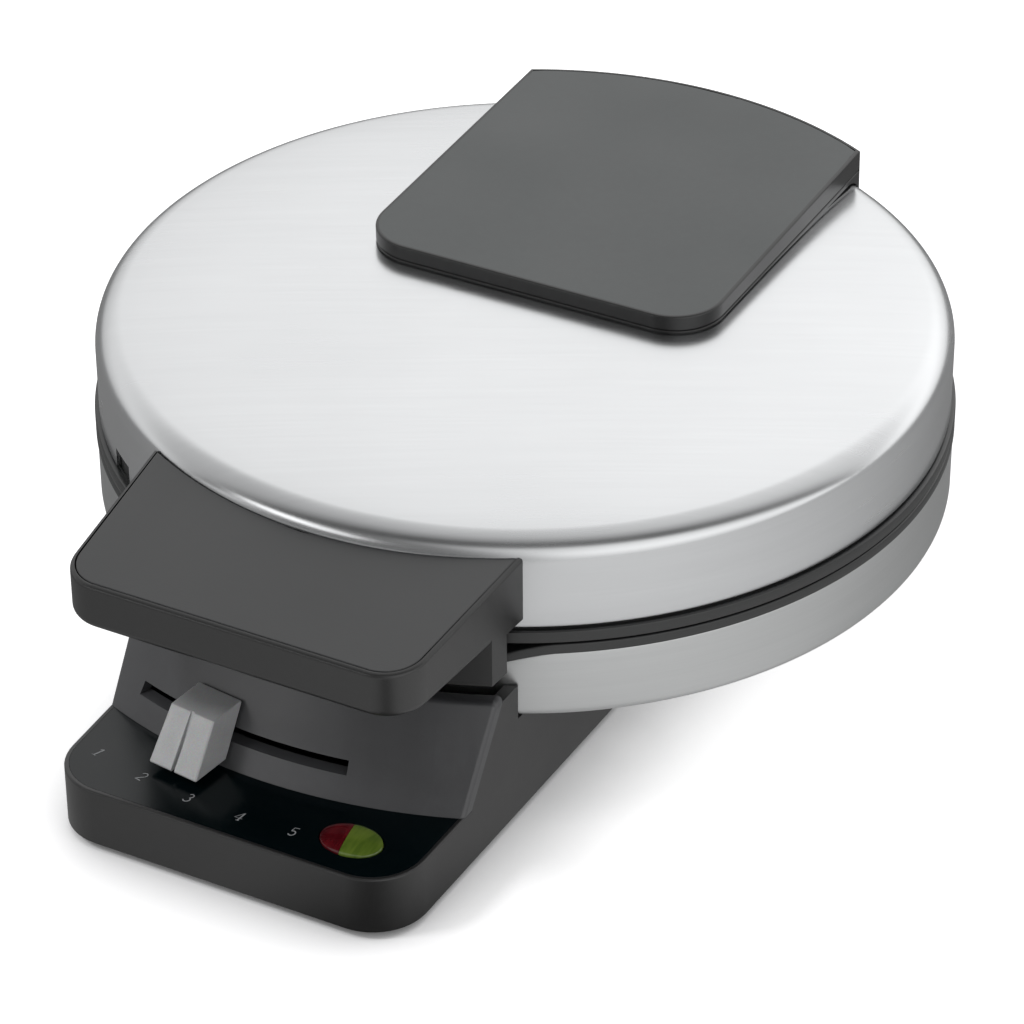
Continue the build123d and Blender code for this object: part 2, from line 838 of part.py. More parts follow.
# Hinge bracket: a block that stands on the deck and the rear wall, with two ears for the pin
bracket_width = 2 * (ear_inner + ear_width)
bracket_top = parting - ear_radius - knuckle_gap
with BuildPart() as hinge_bracket:
    with BuildSketch(level(shell_floor)):
        with Locations((0, bracket_y)):
            Rectangle(bracket_width, 2 * ear_radius - wall)
    extrude(amount=neck_rise)
    with BuildSketch(level(neck_top)):
        with Locations((0, pin_reach)):
            Rectangle(bracket_width, 2 * ear_radius)
    extrude(amount=bracket_top - neck_top)
    for side in (-1, 1):
        with BuildSketch(side_plane.offset(side * bracket_screw_x)):
            with Locations((pin_reach, parting)):
                Circle(ear_radius)
            with Locations((pin_reach, (parting + neck_top) / 2)):
                Rectangle(2 * ear_radius, parting - neck_top)
        extrude(amount=ear_width / 2, both=True)
    with BuildSketch(side_plane):
        with Locations((pin_reach, parting)):
            Circle(pin_radius)
    extrude(amount=2 * ear_inner, both=True, mode=Mode.SUBTRACT)
    with BuildSketch(level(shell_floor)):
        with Locations(*bracket_screw_points):
            Circle(screw_radius)
    extrude(amount=bracket_thread, mode=Mode.SUBTRACT)
hinge_bracket.part.label = "hinge_bracket"
export_step(hinge_bracket.part, "parts/hinge_bracket.step")

# Screws up through the deck into the hinge bracket
with BuildPart() as bracket_screws:
    with BuildSketch(level(shell_floor - top_wall - head_height)):
        with Locations(*bracket_screw_points):
            Circle(head_radius)
    extrude(amount=head_height)
    with BuildSketch(level(shell_floor - top_wall)):
        with Locations(*bracket_screw_points):
            Circle(screw_radius)
    extrude(amount=top_wall + bracket_thread)
bracket_screws.part.label = "bracket_screws"
export_step(bracket_screws.part, "parts/bracket_screws.step")

# Control panel: leaning front wall with the knob's slot and a rounded lip
panel_top = foot_top + panel_height
with BuildPart() as control_panel:
    with BuildSketch(profile_plane):
        with BuildLine():
            Polyline(
                (-panel_radius, foot_top),
                (-panel_face(panel_top), panel_top),
                (panel_thickness - panel_face(panel_top), panel_top),
                (panel_thickness - panel_radius, foot_top),
                close=True,
            )
        make_face()
    revolve(axis=disc_axis, revolution_arc=180)
    with BuildSketch(level(foot_top)):
        add(foot_plan())
    extrude(amount=panel_height, mode=Mode.INTERSECT)
    fillet(control_panel.edges().filter_by(panel_side_edge), radius=panel_edge)
    fillet(circle_edges(control_panel, panel_face(panel_top), panel_top), radius=panel_lip)
    with BuildSketch(blade(slot_from)):
        with Locations((panel_radius - panel_thickness, foot_top + slot_rise + slot_height / 2)):
            Rectangle(8 * panel_thickness, slot_height)
    revolve(axis=disc_axis, revolution_arc=slot_to - slot_from, mode=Mode.SUBTRACT)
control_panel.part.label = "control_panel"
export_step(control_panel.part, "parts/control_panel.step")

# Glossy legend plate let into the top of the foot
with BuildPart() as legend_plate:
    with BuildSketch(level(foot_top - legend_thickness)):
        add(legend_plan(slip))
        with Locations((lens_x, -lens_reach)):
            Ellipse(lens_half_width + lens_gap, lens_half_depth + lens_gap, mode=Mode.SUBTRACT)
    extrude(amount=legend_thickness)
legend_plate.part.label = "legend_plate"
export_step(legend_plate.part, "parts/legend_plate.step")

# Indicator lens: one oval domed window in two colours, split down the middle
lens_bottom = foot_top - top_wall - lens_flange_height
with BuildPart() as lens_form:
    with BuildSketch(Plane((lens_x, disc_y - lens_reach, lens_bottom))):
        Ellipse(lens_half_width + lens_flange, lens_half_depth + lens_flange)
    extrude(amount=lens_flange_height)
    with BuildSketch(Plane((lens_x, disc_y - lens_reach, lens_bottom))):
        Ellipse(lens_half_width, lens_half_depth)
    extrude(amount=foot_top + lens_dome - lens_bottom)
    fillet(lens_form.faces().sort_by(Axis.Z)[-1].edges(), radius=lens_dome)

for side, name in ((-1, "red_lens"), (1, "green_lens")):
    half_middle = lens_x + side * (lens_half_width + lens_gap / 2)
    with BuildPart() as lens_half:
        add(lens_form.part)
        with BuildSketch(Plane((half_middle, disc_y - lens_reach, lens_bottom))):
            Rectangle(2 * lens_half_width, 4 * lens_half_depth)
        extrude(amount=foot_top, mode=Mode.INTERSECT)
    lens_half.part.label = name
    export_step(lens_half.part, f"parts/{name}.step")

# Lamp holder under the lens, standing on the bottom cover
lamp_points = [(-lens_half_width / 2, 0), (lens_half_width / 2, 0)]
with BuildPart() as lamp_holder:
    with BuildSketch(Plane((lens_x, disc_y - lens_reach, cover_top))):
        Ellipse(lens_half_width + lens_flange, lens_half_depth + lens_flange)
    extrude(amount=lens_bottom - cover_top)
    with BuildSketch(Plane((lens_x, disc_y - lens_reach, cover_top + holder_floor))):
        with Locations(*lamp_points):
            Circle(lamp_radius + lamp_gap)
    extrude(amount=lens_bottom - cover_top, mode=Mode.SUBTRACT)
lamp_holder.part.label = "lamp_holder"
export_step(lamp_holder.part, "parts/lamp_holder.step")

# Two small indicator lamps standing in the holder
with BuildPart() as indicator_lamps:
    with BuildSketch(Plane((lens_x, disc_y - lens_reach, cover_top + holder_floor))):
        with Locations(*lamp_points):
            Circle(lamp_radius)
    extrude(amount=lamp_height)
    fillet(indicator_lamps.edges().group_by(Axis.Z)[-1], radius=0.8 * lamp_radius)
indicator_lamps.part.label = "indicator_lamps"
export_step(indicator_lamps.part, "parts/indicator_lamps.step")

# Bottom cover with vent slots
with BuildPart() as bottom_cover:
    with BuildSketch(level(cover_bottom)):
        add(foot_plan(wall + free))
        with Locations(*cover_screw_points):
            Circle(screw_radius + screw_clearance, mode=Mode.SUBTRACT)
        with Locations(*rubber_points):
            Circle(rubber_stem, mode=Mode.SUBTRACT)
        with GridLocations(vent_spacing, vent_pitch, vent_columns, vent_rows):
            SlotOverall(vent_length, vent_width, mode=Mode.SUBTRACT)
    extrude(amount=cover_plate)
bottom_cover.part.label = "bottom_cover"
export_step(bottom_cover.part, "parts/bottom_cover.step")

# Screws of the bottom cover; their heads stay above the table
with BuildPart() as bottom_screws:
    with BuildSketch(level(cover_bottom - head_height)):
        with Locations(*cover_screw_points):
            Circle(head_radius)
    extrude(amount=head_height)
    with BuildSketch(level(cover_bottom)):
        with Locations(*cover_screw_points):
            Circle(screw_radius)
    extrude(amount=cover_plate + cover_thread)
bottom_screws.part.label = "bottom_screws"
export_step(bottom_screws.part, "parts/bottom_screws.step")

# Rubber feet pushed into the bottom cover
with BuildPart() as rubber_feet:
    with BuildSketch(level(0)):
        with Locations(*rubber_points):
            Circle(rubber_radius)
    extrude(amount=cover_bottom)
    fillet(rubber_feet.edges().group_by(Axis.Z)[0], radius=edge_round)
    with BuildSketch(level(cover_bottom)):
        with Locations(*rubber_points):
            Circle(rubber_stem)
    extrude(amount=cover_plate)
    with BuildSketch(level(cover_top)):
        with Locations(*rubber_points):
            Circle(rubber_stem + rubber_barb)
    extrude(amount=rubber_barb_height)
rubber_feet.part.label = "rubber_feet"
export_step(rubber_feet.part, "parts/rubber_feet.step")

# Screws up through the housing's deck into the lower shell's floor
with BuildPart() as shell_screws:
    with BuildSketch(level(shell_floor - top_wall - head_height)):
        with Locations(*deck_screw_points):
            Circle(head_radius)
    extrude(amount=head_height)
    with BuildSketch(level(shell_floor - top_wall)):
        with Locations(*deck_screw_points):
            Circle(screw_radius)
    extrude(amount=top_wall + sheet)
shell_screws.part.label = "shell_screws"
export_step(shell_screws.part, "parts/shell_screws.step")

# Bush in the rear wall where the supply lead goes in
bush_seat = (inlet_x, disc_y + hinge_reach - wall, inlet_height)
with BuildPart() as inlet_bush:
    with BuildSketch(Plane(origin=bush_seat, z_dir=(0, -1, 0))):
        Circle(inlet_flange)
        Circle(inlet_radius, mode=Mode.SUBTRACT)
    extrude(amount=inlet_flange_height)
    with BuildSketch(Plane(origin=bush_seat, z_dir=(0, 1, 0))):
        Circle(inlet_radius + wall / 2)
        Circle(inlet_radius, mode=Mode.SUBTRACT)
    extrude(amount=wall)
inlet_bush.part.label = "inlet_bush"
export_step(inlet_bush.part, "parts/inlet_bush.step")

# Terminal block under the deck
terminal_top = shell_floor - top_wall
terminal_middle = (0, disc_y + terminal_y, terminal_top - terminal_height / 2)
with BuildPart() as terminal_block:
    with BuildSketch(level(terminal_top - terminal_height)):
        with Locations((0, terminal_y)):
            Rectangle(terminal_length, terminal_depth)
    extrude(amount=terminal_height)
    with BuildSketch(Plane(origin=terminal_middle, z_dir=(0, 1, 0))):
        with GridLocations(terminal_pitch, terminal_pitch, terminal_ways, 1):
            Circle(terminal_bore)
    extrude(amount=terminal_depth, both=True, mode=Mode.SUBTRACT)
terminal_block.part.label = "terminal_block"
export_step(terminal_block.part, "parts/terminal_block.step")

# Hinge pin, tight in the bracket's ears
with BuildPart() as hinge_pin:
    with BuildSketch(side_plane):
        with Locations((pin_reach, parting)):
            Circle(pin_radius)
    extrude(amount=ear_inner + ear_width, both=True)
hinge_pin.part.label = "hinge_pin"
export_step(hinge_pin.part, "parts/hinge_pin.step")

# Hinge arm on the back of the lid, turning on the pin
knuckle_half = ear_inner - knuckle_gap
arm_inside = lid_radius + slip
arm_outside = arm_inside + arm_plate_thickness
with BuildPart() as hinge_arm:
    with BuildSketch(level(lid_bottom + arm_plate_step)):
        Circle(arm_outside)
        Circle(arm_inside, mode=Mode.SUBTRACT)
        with Locations((0, arm_outside / 2)):
            Rectangle(2 * knuckle_half, arm_outside, mode=Mode.INTERSECT)
    extrude(amount=lid_height - lid_edge_radius - arm_plate_step)
    with BuildSketch(side_plane):
        with BuildLine():
            Polyline(
                (ring_radius + knuckle_gap, parting),
                (ring_radius + knuckle_gap, lid_bottom + upper_ring_height),
                (arm_outside, lid_bottom + lid_height / 2),
                (pin_reach, parting + ear_radius),
                (pin_reach, parting),
                close=True,
            )
        make_face()
        with Locations((pin_reach, parting)):
            Circle(ear_radius)
    extrude(amount=knuckle_half, both=True)
    with BuildSketch(side_plane):
        with Locations((pin_reach, parting)):
            Circle(pin_radius + slip)
    extrude(amount=knuckle_half, both=True, mode=Mode.SUBTRACT)
    for angle in hinge_screw_angles:
        with BuildSketch(spoke(angle, lid_radius, hinge_screw_height)):
            Circle(screw_radius)
        extrude(amount=2 * arm_plate_thickness, mode=Mode.SUBTRACT)
hinge_arm.part.label = "hinge_arm"
export_step(hinge_arm.part, "parts/hinge_arm.step")

# Screws from inside the lid, into the hinge arm and into the handle
inner_wall = lid_radius - sheet
for name, angles, height, grip in (
    ("hinge_arm_screws", hinge_screw_angles, hinge_screw_height, arm_plate_thickness),
    ("handle_screws", handle_screw_angles, handle_screw_height, handle_thread),
):
    with BuildPart() as wall_screws:
        for angle in angles:
            with BuildSketch(spoke(angle, inner_wall - slip - head_height, height)):
                Circle(head_radius)
            extrude(amount=head_height)
            with BuildSketch(spoke(angle, inner_wall - slip, height)):
                Circle(screw_radius)
            extrude(amount=sheet + slip + grip)
    wall_screws.part.label = name
    export_step(wall_screws.part, f"parts/{name}.step")


# Handle: a tray with a skirt that guards the hand from the hot rim
with BuildPart() as handle_body:
    with BuildSketch(level(handle_bottom)):
        add(handle_plan())
    extrude(amount=2 * handle_thickness)
    split(bisect_by=handle_top, keep=Keep.BOTTOM)
    with BuildSketch(level(skirt_foot)):
        add(handle_plan())
        Circle(skirt_radius, mode=Mode.INTERSECT)
        Circle(skirt_radius - skirt_thickness, mode=Mode.SUBTRACT)
    extrude(amount=handle_bottom - skirt_foot)
    bottom_edges = handle_body.edges().filter_by_position(Axis.Z, handle_bottom - slip, handle_bottom + slip)
    fillet(bottom_edges.filter_by(in_front_of_skirt), radius=handle_round)
    with BuildSketch(handle_top):
        add(handle_plan(rim))
    extrude(amount=-cap_thickness, mode=Mode.SUBTRACT)
    with BuildSketch(level(handle_bottom + handle_wall)):
        add(handle_plan(handle_wall))
        Circle(lid_radius + handle_wall, mode=Mode.SUBTRACT)
    extrude(amount=2 * handle_thickness, mode=Mode.SUBTRACT)
    for angle in handle_screw_angles:
        with BuildSketch(spoke(angle, lid_radius, handle_screw_height)):
            Circle(2 * screw_radius)
        extrude(amount=handle_boss_length)
        with BuildSketch(spoke(angle, lid_radius, handle_screw_height)):
            Circle(screw_radius)
        extrude(amount=handle_thread + screw_clearance, mode=Mode.SUBTRACT)
    with BuildSketch(level(lid_bottom)):
        Circle(lid_radius + slip)
    extrude(amount=2 * lid_height, mode=Mode.SUBTRACT)
handle_body.part.label = "handle_body"
export_step(handle_body.part, "parts/handle_body.step")

# Handle cap let into the tray's rim
with BuildPart() as handle_cap:
    with BuildSketch(handle_top):
        add(handle_plan(rim + cap_gap))
        Circle(lid_radius + free, mode=Mode.SUBTRACT)
    extrude(amount=-cap_thickness)
    fillet(handle_cap.faces().sort_by(Axis.Z)[-1].edges(), radius=cap_gap)
handle_cap.part.label = "handle_cap"
export_step(handle_cap.part, "parts/handle_cap.step")

# Hinge cover: a frame that fits the lid's curved edge, with a groove round its foot
with BuildPart() as hinge_cover:
    with BuildSketch(cover_face):
        add(cover_plan())
    extrude(amount=-lid_edge_radius - 2 * cover_height)
    with BuildSketch(cover_face):
        add(cover_plan(rim))
    extrude(amount=-cap_thickness, mode=Mode.SUBTRACT)
    with BuildSketch(cover_face):
        add(cover_plan(cover_wall))
    extrude(amount=-lid_edge_radius - 2 * cover_height, mode=Mode.SUBTRACT)
    with BuildSketch(level(lid_top + cover_groove_rise)):
        add(cover_plan())
        add(cover_plan(cover_groove), mode=Mode.SUBTRACT)
    extrude(amount=cover_groove, mode=Mode.SUBTRACT)
    add(lid_form.part, mode=Mode.SUBTRACT)
hinge_cover.part.label = "hinge_cover"
export_step(hinge_cover.part, "parts/hinge_cover.step")

# Cap of the hinge cover, with posts for its screws
with BuildPart() as hinge_cover_cap:
    with BuildSketch(cover_face):
        add(cover_plan(rim + cap_gap))
    extrude(amount=-cap_thickness)
    fillet(hinge_cover_cap.faces().sort_by(Axis.Z)[-1].edges(), radius=cap_gap)
    with BuildSketch(cover_face.offset(-cap_thickness)):
        with Locations(*cap_post_points):
            Circle(post_radius)
    extrude(amount=-2 * cover_height)
    add(lid_form.part, mode=Mode.SUBTRACT)
    with BuildSketch(level(lid_top)):
        with Locations(*cap_post_points):
            Circle(screw_radius)
    extrude(amount=cover_height - cap_thickness, mode=Mode.SUBTRACT)
hinge_cover_cap.part.label = "hinge_cover_cap"
export_step(hinge_cover_cap.part, "parts/hinge_cover_cap.step")

# Screws of the hinge cover, driven from inside the lid
with BuildPart() as cover_screws:
    with BuildSketch(level(lid_top - sheet - head_height)):
        with Locations(*cap_post_points):
            Circle(head_radius)
    extrude(amount=head_height)
    with BuildSketch(level(lid_top - sheet)):
        with Locations(*cap_post_points):
            Circle(screw_radius)
    extrude(amount=sheet + cover_height - cap_thickness)
cover_screws.part.label = "cover_screws"
export_step(cover_screws.part, "parts/cover_screws.step")

# Browning control arm: it turns with the thermostat's shaft and reaches out of the slot
arm_middle = foot_top + slot_rise + slot_height / 2
knob_back = panel_face(arm_middle) + knob_gap
outward = blade(knob_angle).x_dir
arm_plane = Plane(origin=(0, disc_y, arm_middle - arm_thickness / 2), x_dir=outward, z_dir=(0, 0, 1))
arm_reach = panel_face(arm_middle) - 2 * panel_thickness
with BuildPart() as slider_arm:
    with BuildSketch(arm_plane):
        with Locations((arm_reach / 2, 0)):
            Rectangle(arm_reach, arm_width)
        with Locations(((arm_reach + knob_back + tab_depth) / 2, 0)):
            Rectangle(knob_back + tab_depth - arm_reach, tab_width)
    extrude(amount=arm_thickness)
    with BuildSketch(level(arm_middle - hub_height / 2)):
        Circle(hub_radius)
    extrude(amount=hub_height)
    with BuildSketch(level(arm_middle - hub_height / 2)):
        Circle(shaft_radius)
    extrude(amount=hub_height, mode=Mode.SUBTRACT)
slider_arm.part.label = "slider_arm"
export_step(slider_arm.part, "parts/slider_arm.step")

# Thermostat shaft with the clip that holds the arm on it
clip_bottom = arm_middle - hub_height / 2 - clip_thickness
shaft_bottom = clip_bottom - shaft_end
with BuildPart() as thermostat_shaft:
    with BuildSketch(level(shaft_bottom)):
        Circle(shaft_radius)
    extrude(amount=thermostat_bottom + 2 * shaft_radius - shaft_bottom)
    with BuildSketch(level(clip_bottom)):
        Circle(shaft_radius)
        Circle(shaft_radius - clip_depth, mode=Mode.SUBTRACT)
    extrude(amount=clip_thickness, mode=Mode.SUBTRACT)
thermostat_shaft.part.label = "thermostat_shaft"
export_step(thermostat_shaft.part, "parts/thermostat_shaft.step")

with BuildPart() as shaft_clip:
    with BuildSketch(level(clip_bottom)):
        Circle(shaft_radius + clip_width)
        Circle(shaft_radius - clip_depth, mode=Mode.SUBTRACT)
        with Locations((shaft_radius, 0)):
            Rectangle(2 * shaft_radius, shaft_radius, mode=Mode.SUBTRACT)
    extrude(amount=clip_thickness)
shaft_clip.part.label = "shaft_clip"
export_step(shaft_clip.part, "parts/shaft_clip.step")

# Knob: a leaning wedge with a groove down its front
knob_bottom = foot_top + knob_lift
knob_top = knob_bottom + knob_height
with BuildPart() as slider_knob:
    for height, width, depth in (
        (knob_bottom, knob_bottom_width, knob_bottom_depth),
        (knob_top, knob_top_width, knob_top_depth),
    ):
        near = panel_face(height) + knob_gap
        with BuildSketch(Plane(origin=(0, disc_y, height), x_dir=outward, z_dir=(0, 0, 1))):
            with Locations((near + depth / 2, 0)):
                Rectangle(depth, width)
    loft()
    fillet(slider_knob.edges(), radius=knob_round)
    with BuildSketch(blade(knob_angle)):
        with BuildLine():
            front_low = panel_face(knob_bottom) + knob_gap + knob_bottom_depth
            front_high = panel_face(knob_top) + knob_gap + knob_top_depth
            Polyline(
                (front_low - knob_groove, knob_bottom - knob_groove),
                (front_low + knob_bottom_depth, knob_bottom - knob_groove),
                (front_high + knob_bottom_depth, knob_top + knob_groove),
                (front_high - knob_groove, knob_top + knob_groove),
                close=True,
            )
        make_face()
    extrude(amount=knob_groove / 2, both=True, mode=Mode.SUBTRACT)
    with BuildSketch(arm_plane):
        with Locations((knob_back, 0)):
            Rectangle(2 * tab_depth, tab_width)
    extrude(amount=arm_thickness, mode=Mode.SUBTRACT)
slider_knob.part.label = "slider_knob"
export_step(slider_knob.part, "parts/slider_knob.step")
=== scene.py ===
import json
import math

import bmesh
import bpy
from mathutils import Matrix, Vector

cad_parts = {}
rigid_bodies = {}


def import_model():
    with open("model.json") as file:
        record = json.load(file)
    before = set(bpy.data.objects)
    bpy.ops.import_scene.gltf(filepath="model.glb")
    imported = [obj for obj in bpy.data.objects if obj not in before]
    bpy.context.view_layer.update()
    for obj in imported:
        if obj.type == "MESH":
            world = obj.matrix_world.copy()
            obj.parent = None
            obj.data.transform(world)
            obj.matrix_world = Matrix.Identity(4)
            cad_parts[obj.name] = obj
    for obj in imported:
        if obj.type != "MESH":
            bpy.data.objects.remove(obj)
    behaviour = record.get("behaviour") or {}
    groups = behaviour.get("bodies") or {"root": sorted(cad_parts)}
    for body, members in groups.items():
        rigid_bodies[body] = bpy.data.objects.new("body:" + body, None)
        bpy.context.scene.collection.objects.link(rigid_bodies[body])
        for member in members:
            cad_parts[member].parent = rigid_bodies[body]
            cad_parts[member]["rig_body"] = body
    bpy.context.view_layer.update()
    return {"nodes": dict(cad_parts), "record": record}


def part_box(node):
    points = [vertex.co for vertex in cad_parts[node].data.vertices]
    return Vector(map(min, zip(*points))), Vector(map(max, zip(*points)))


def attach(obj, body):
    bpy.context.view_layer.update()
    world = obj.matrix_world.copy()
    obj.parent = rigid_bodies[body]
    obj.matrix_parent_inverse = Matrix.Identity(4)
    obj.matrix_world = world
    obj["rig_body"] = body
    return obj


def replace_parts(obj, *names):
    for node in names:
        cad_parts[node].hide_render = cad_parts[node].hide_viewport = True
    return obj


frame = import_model()

# Lengths in this script are metres; small ones are written as a number of millimetres times MM.
MM = 0.001

# The cooking body, read from the frame
lid_low, lid_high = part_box("lid_shell")
shell_low, shell_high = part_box("lower_shell")
upper_ring_low, upper_ring_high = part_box("upper_trim_ring")
lower_ring_low, lower_ring_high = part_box("lower_trim_ring")
lower_plate_low, lower_plate_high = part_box("lower_plate")
AXIS_Y = (lid_low.y + lid_high.y) / 2
LID_RADIUS = lid_high.x
RING_RADIUS = lower_ring_high.x
SHELL_RADIUS = shell_high.x
SHEET = 0.8 * MM
SHELL_FLOOR = lower_plate_low.z - SHEET

# Edges and seams of the round sheets and rings
ROUND_STEPS = 240
LID_EDGE_RADIUS = 6.4 * MM
LID_CROWN = 1.2 * MM
CROWN_POWER = 6
CROWN_RINGS = 24
SHELL_EDGE_RADIUS = 2.2 * MM
WALL_ROWS = 6
HEM = 0.35 * MM
SHADOW_GAP = 0.5 * MM
SPIGOT_GAP = 0.2 * MM
RING_ROUND = 0.45 * MM
RING_BORE = lower_plate_high.x + 0.3 * MM
LOWER_RING_HEIGHT = 2.4 * MM
WELL_RADIUS = 22.8 * MM

# The front dip of the lower rim, and the steam notch in the lid's wall
DIP_SHOULDER = 51.0 * MM
DIP_FLOOR = 28.0 * MM
DIP_DEPTH = 5.0 * MM
NOTCH_ANGLE = math.radians(-38.5)
NOTCH_WIDTH = 8.2 * MM
NOTCH_HEIGHT = 4.9 * MM

# Shading and rounding: the angles in degrees up to which a surface is shaded smooth, what counts as flat
# or sharp, and where a brim runs, by how steeply normals rise
SMOOTH_ANGLE = 32
THREAD_SMOOTH_ANGLE = 40
FLAT_ANGLE = math.radians(0.4)
SHARP_TURN = math.radians(30)
SMALLEST_EDGE = 0.001 * MM
DOUBLED_WITHIN = 0.002 * MM
BRIM_TURN = math.radians(60)
BRIM_TOP_RISE = 0.9
BRIM_SIDE_RISE = 0.5
BRIM_REAR_TURN = 0.5

# Let-in caps: what counts as their sides and their level top, how far sideways a point has to face before it
# moves, and what counts as the rear side
CAP_SIDE_RISE = 0.98
CAP_TOP_RISE = 0.99
CAP_TOP_AREA = 4 * MM * MM
CAP_LEAST_TURN = 0.3
CAP_REAR_TURN = 0.3

# Numbers printed on the legend: angles from straight ahead, in degrees
legend_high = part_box("legend_plate")[1]
NUMBER_ANGLES = (-16.2, -10.5, -4.9, 0.7, 6.2)
NUMBER_RADIUS = 128.9 * MM
NUMBER_HEIGHT = 2.8 * MM
NUMBER_SLANT = 0.16
NUMBER_WEIGHT = 0.8
PRINT_HEIGHT = 0.04 * MM

# Camera: its place, its axes and its lens, as the photograph was taken
CAMERA_PLACE = Vector((398.492, -748.297, 587.133)) * MM + Vector((0, AXIS_Y, 0))
CAMERA_RIGHT = Vector((0.88278243, 0.46974492, -0.00590766))
CAMERA_UP = Vector((-0.25889722, 0.49695686, 0.82825486))
CAMERA_BACK = Vector((0.39200436, -0.72963936, 0.56032043))
CAMERA_CLIP = (0.05, 60.0)
FOCAL_PIXELS = 4500.0
IMAGE_PIXELS = 1024
SENSOR = 36.0

# Studio: brightness by degrees from the back horizon over the top to the front horizon, the share of it on
# the left and right sides, and a darker patch low at the front left: nearness and share at edge and middle
FRONT = Vector((CAMERA_BACK.x, CAMERA_BACK.y, 0)).normalized()
STUDIO_LIGHT = (
    (0, 0.5), (16, 0.66), (30, 0.84), (42, 0.8), (56, 0.52), (82, 0.44),
    (100, 0.28), (111, 0.08), (122, 0.06), (136, 0.6), (156, 0.72), (180, 0.5),
)
STUDIO_SIDES = (0.73, 1.13)
STUDIO_SIDE_SPREAD = 0.5
STUDIO_DIM_SIDE = FRONT * 0.80 - CAMERA_RIGHT * 0.57 + Vector((0, 0, 0.17))
STUDIO_DIM = ((0.72, 1.0), (0.92, 0.22))
STUDIO_STRENGTH = 1.4

# Lamps: name, place, what it points at, width and height, watts, and whether metal mirrors it
LAMPS = (
    ("soft_box", (-0.72, -1.24, 0.62), (0, 0, 0.05), (0.95, 0.34), 1.2, True),
    ("key", (-0.75, -0.75, 1.25), (0, 0, 0.0), (0.3, 0.3), 6.5, False),
)

# Floor: its tone, and the lift that makes it a white ground, less where a piece stands close over it:
# painted contact shadow
FLOOR_REACH = 14.0
FLOOR_TONE = (0.7, 0.7, 0.71)
FLOOR_LIFT = 0.9
CONTACT_SHADOW_REACH = 27.0 * MM
CONTACT_SHADOW_DEPTH = 1.6

# Painted reflection of the floor in metal: brighter on one side, with a painted dark lane from under the
# body to the front
FLOOR_PAINTED_BRIGHT_SIDE = (0.746, -0.666, 0.0)
FLOOR_PAINTED_REFLECTION = (0.18, 0.6)
FLOOR_FADE = 2.4
FLOOR_PAINTED_REFLECTION_GLOW = 0.42
FLOOR_LANE_MIDDLE = -27.0 * MM
FLOOR_LANE_EDGES = (0.0, 36.0 * MM)
FLOOR_LANE_PAINTED_SHADE = 0.12


# Node helpers

# A Mix node's sockets by number, since their names repeat: factor, first and second, and the result
COLOUR_MIX_INPUTS, COLOUR_MIX_OUTPUT = (0, 6, 7), 2
FLOAT_MIX_INPUTS, FLOAT_MIX_OUTPUT = (0, 2, 3), 0


def link(tree, source, target):
    tree.links.new(source, target)


def add_node(tree, kind, **values):
    """A node of one kind; plain values go to its properties."""
    node = tree.nodes.new(kind)
    for key, value in values.items():
        setattr(node, key, value)
    return node


def math_node(tree, operation, first, second=None, clamp=False):
    """The output of a Math node; each input is a number or a socket."""
    node = add_node(tree, "ShaderNodeMath", operation=operation, use_clamp=clamp)
    for socket, value in zip(node.inputs, (first, second)):
        if value is None:
            continue
        if isinstance(value, (int, float)):
            socket.default_value = value
        else:
            link(tree, value, socket)
    return node.outputs[0]


def product(tree, first, *others):
    """The product of numbers and sockets, multiplied in turn."""
    for other in others:
        first = math_node(tree, "MULTIPLY", first, other)
    return first


def map_range(tree, value, low, high, to_low, to_high, smooth=False):
    node = add_node(tree, "ShaderNodeMapRange")
    node.interpolation_type = "SMOOTHSTEP" if smooth else "LINEAR"
    link(tree, value, node.inputs["Value"])
    for name, number in (("From Min", low), ("From Max", high), ("To Min", to_low), ("To Max", to_high)):
        node.inputs[name].default_value = number
    return node.outputs["Result"]


def mix_colour(tree, factor, first, second):
    """Mix of two colours, each a tuple or a socket; the factor is a number or a socket."""
    node = add_node(tree, "ShaderNodeMix", data_type="RGBA")
    sockets = (node.inputs[index] for index in COLOUR_MIX_INPUTS)
    for socket, value in zip(sockets, (factor, first, second)):
        if isinstance(value, (int, float)):
            socket.default_value = value
        elif isinstance(value, tuple):
            socket.default_value = (*value, 1.0)
        else:
            link(tree, value, socket)
    return node.outputs[COLOUR_MIX_OUTPUT]


def noise(tree, vector, scale, detail=3.0, roughness=0.5):
    node = add_node(tree, "ShaderNodeTexNoise")
    node.inputs["Scale"].default_value = scale
    node.inputs["Detail"].default_value = detail
    node.inputs["Roughness"].default_value = roughness
    link(tree, vector, node.inputs["Vector"])
    return node.outputs["Fac"]


def axes(tree, vector):
    """The three numbers of a vector."""
    node = add_node(tree, "ShaderNodeSeparateXYZ")
    link(tree, vector, node.inputs[0])
    return node.outputs


def vector_node(tree, operation, vector, constant=None):
    """The output of a Vector Math node on a vector and, where the operation takes two, a constant one."""
    node = add_node(tree, "ShaderNodeVectorMath", operation=operation)
    link(tree, vector, node.inputs[0])
    if constant is not None:
        node.inputs[1].default_value = constant
    return node.outputs["Value" if operation == "DOT_PRODUCT" else "Vector"]


def new_group(name, inputs, outputs):
    """A shader node group that takes a vector and named numbers, and puts out numbers."""
    tree = bpy.data.node_groups.new(name, "ShaderNodeTree")
    tree.interface.new_socket("Vector", in_out="INPUT", socket_type="NodeSocketVector")
    for label, value in inputs.items():
        socket = tree.interface.new_socket(label, in_out="INPUT", socket_type="NodeSocketFloat")
        socket.default_value = value
    for label in outputs:
        tree.interface.new_socket(label, in_out="OUTPUT", socket_type="NodeSocketFloat")
    return tree, add_node(tree, "NodeGroupInput").outputs, add_node(tree, "NodeGroupOutput").inputs


# Shared effects

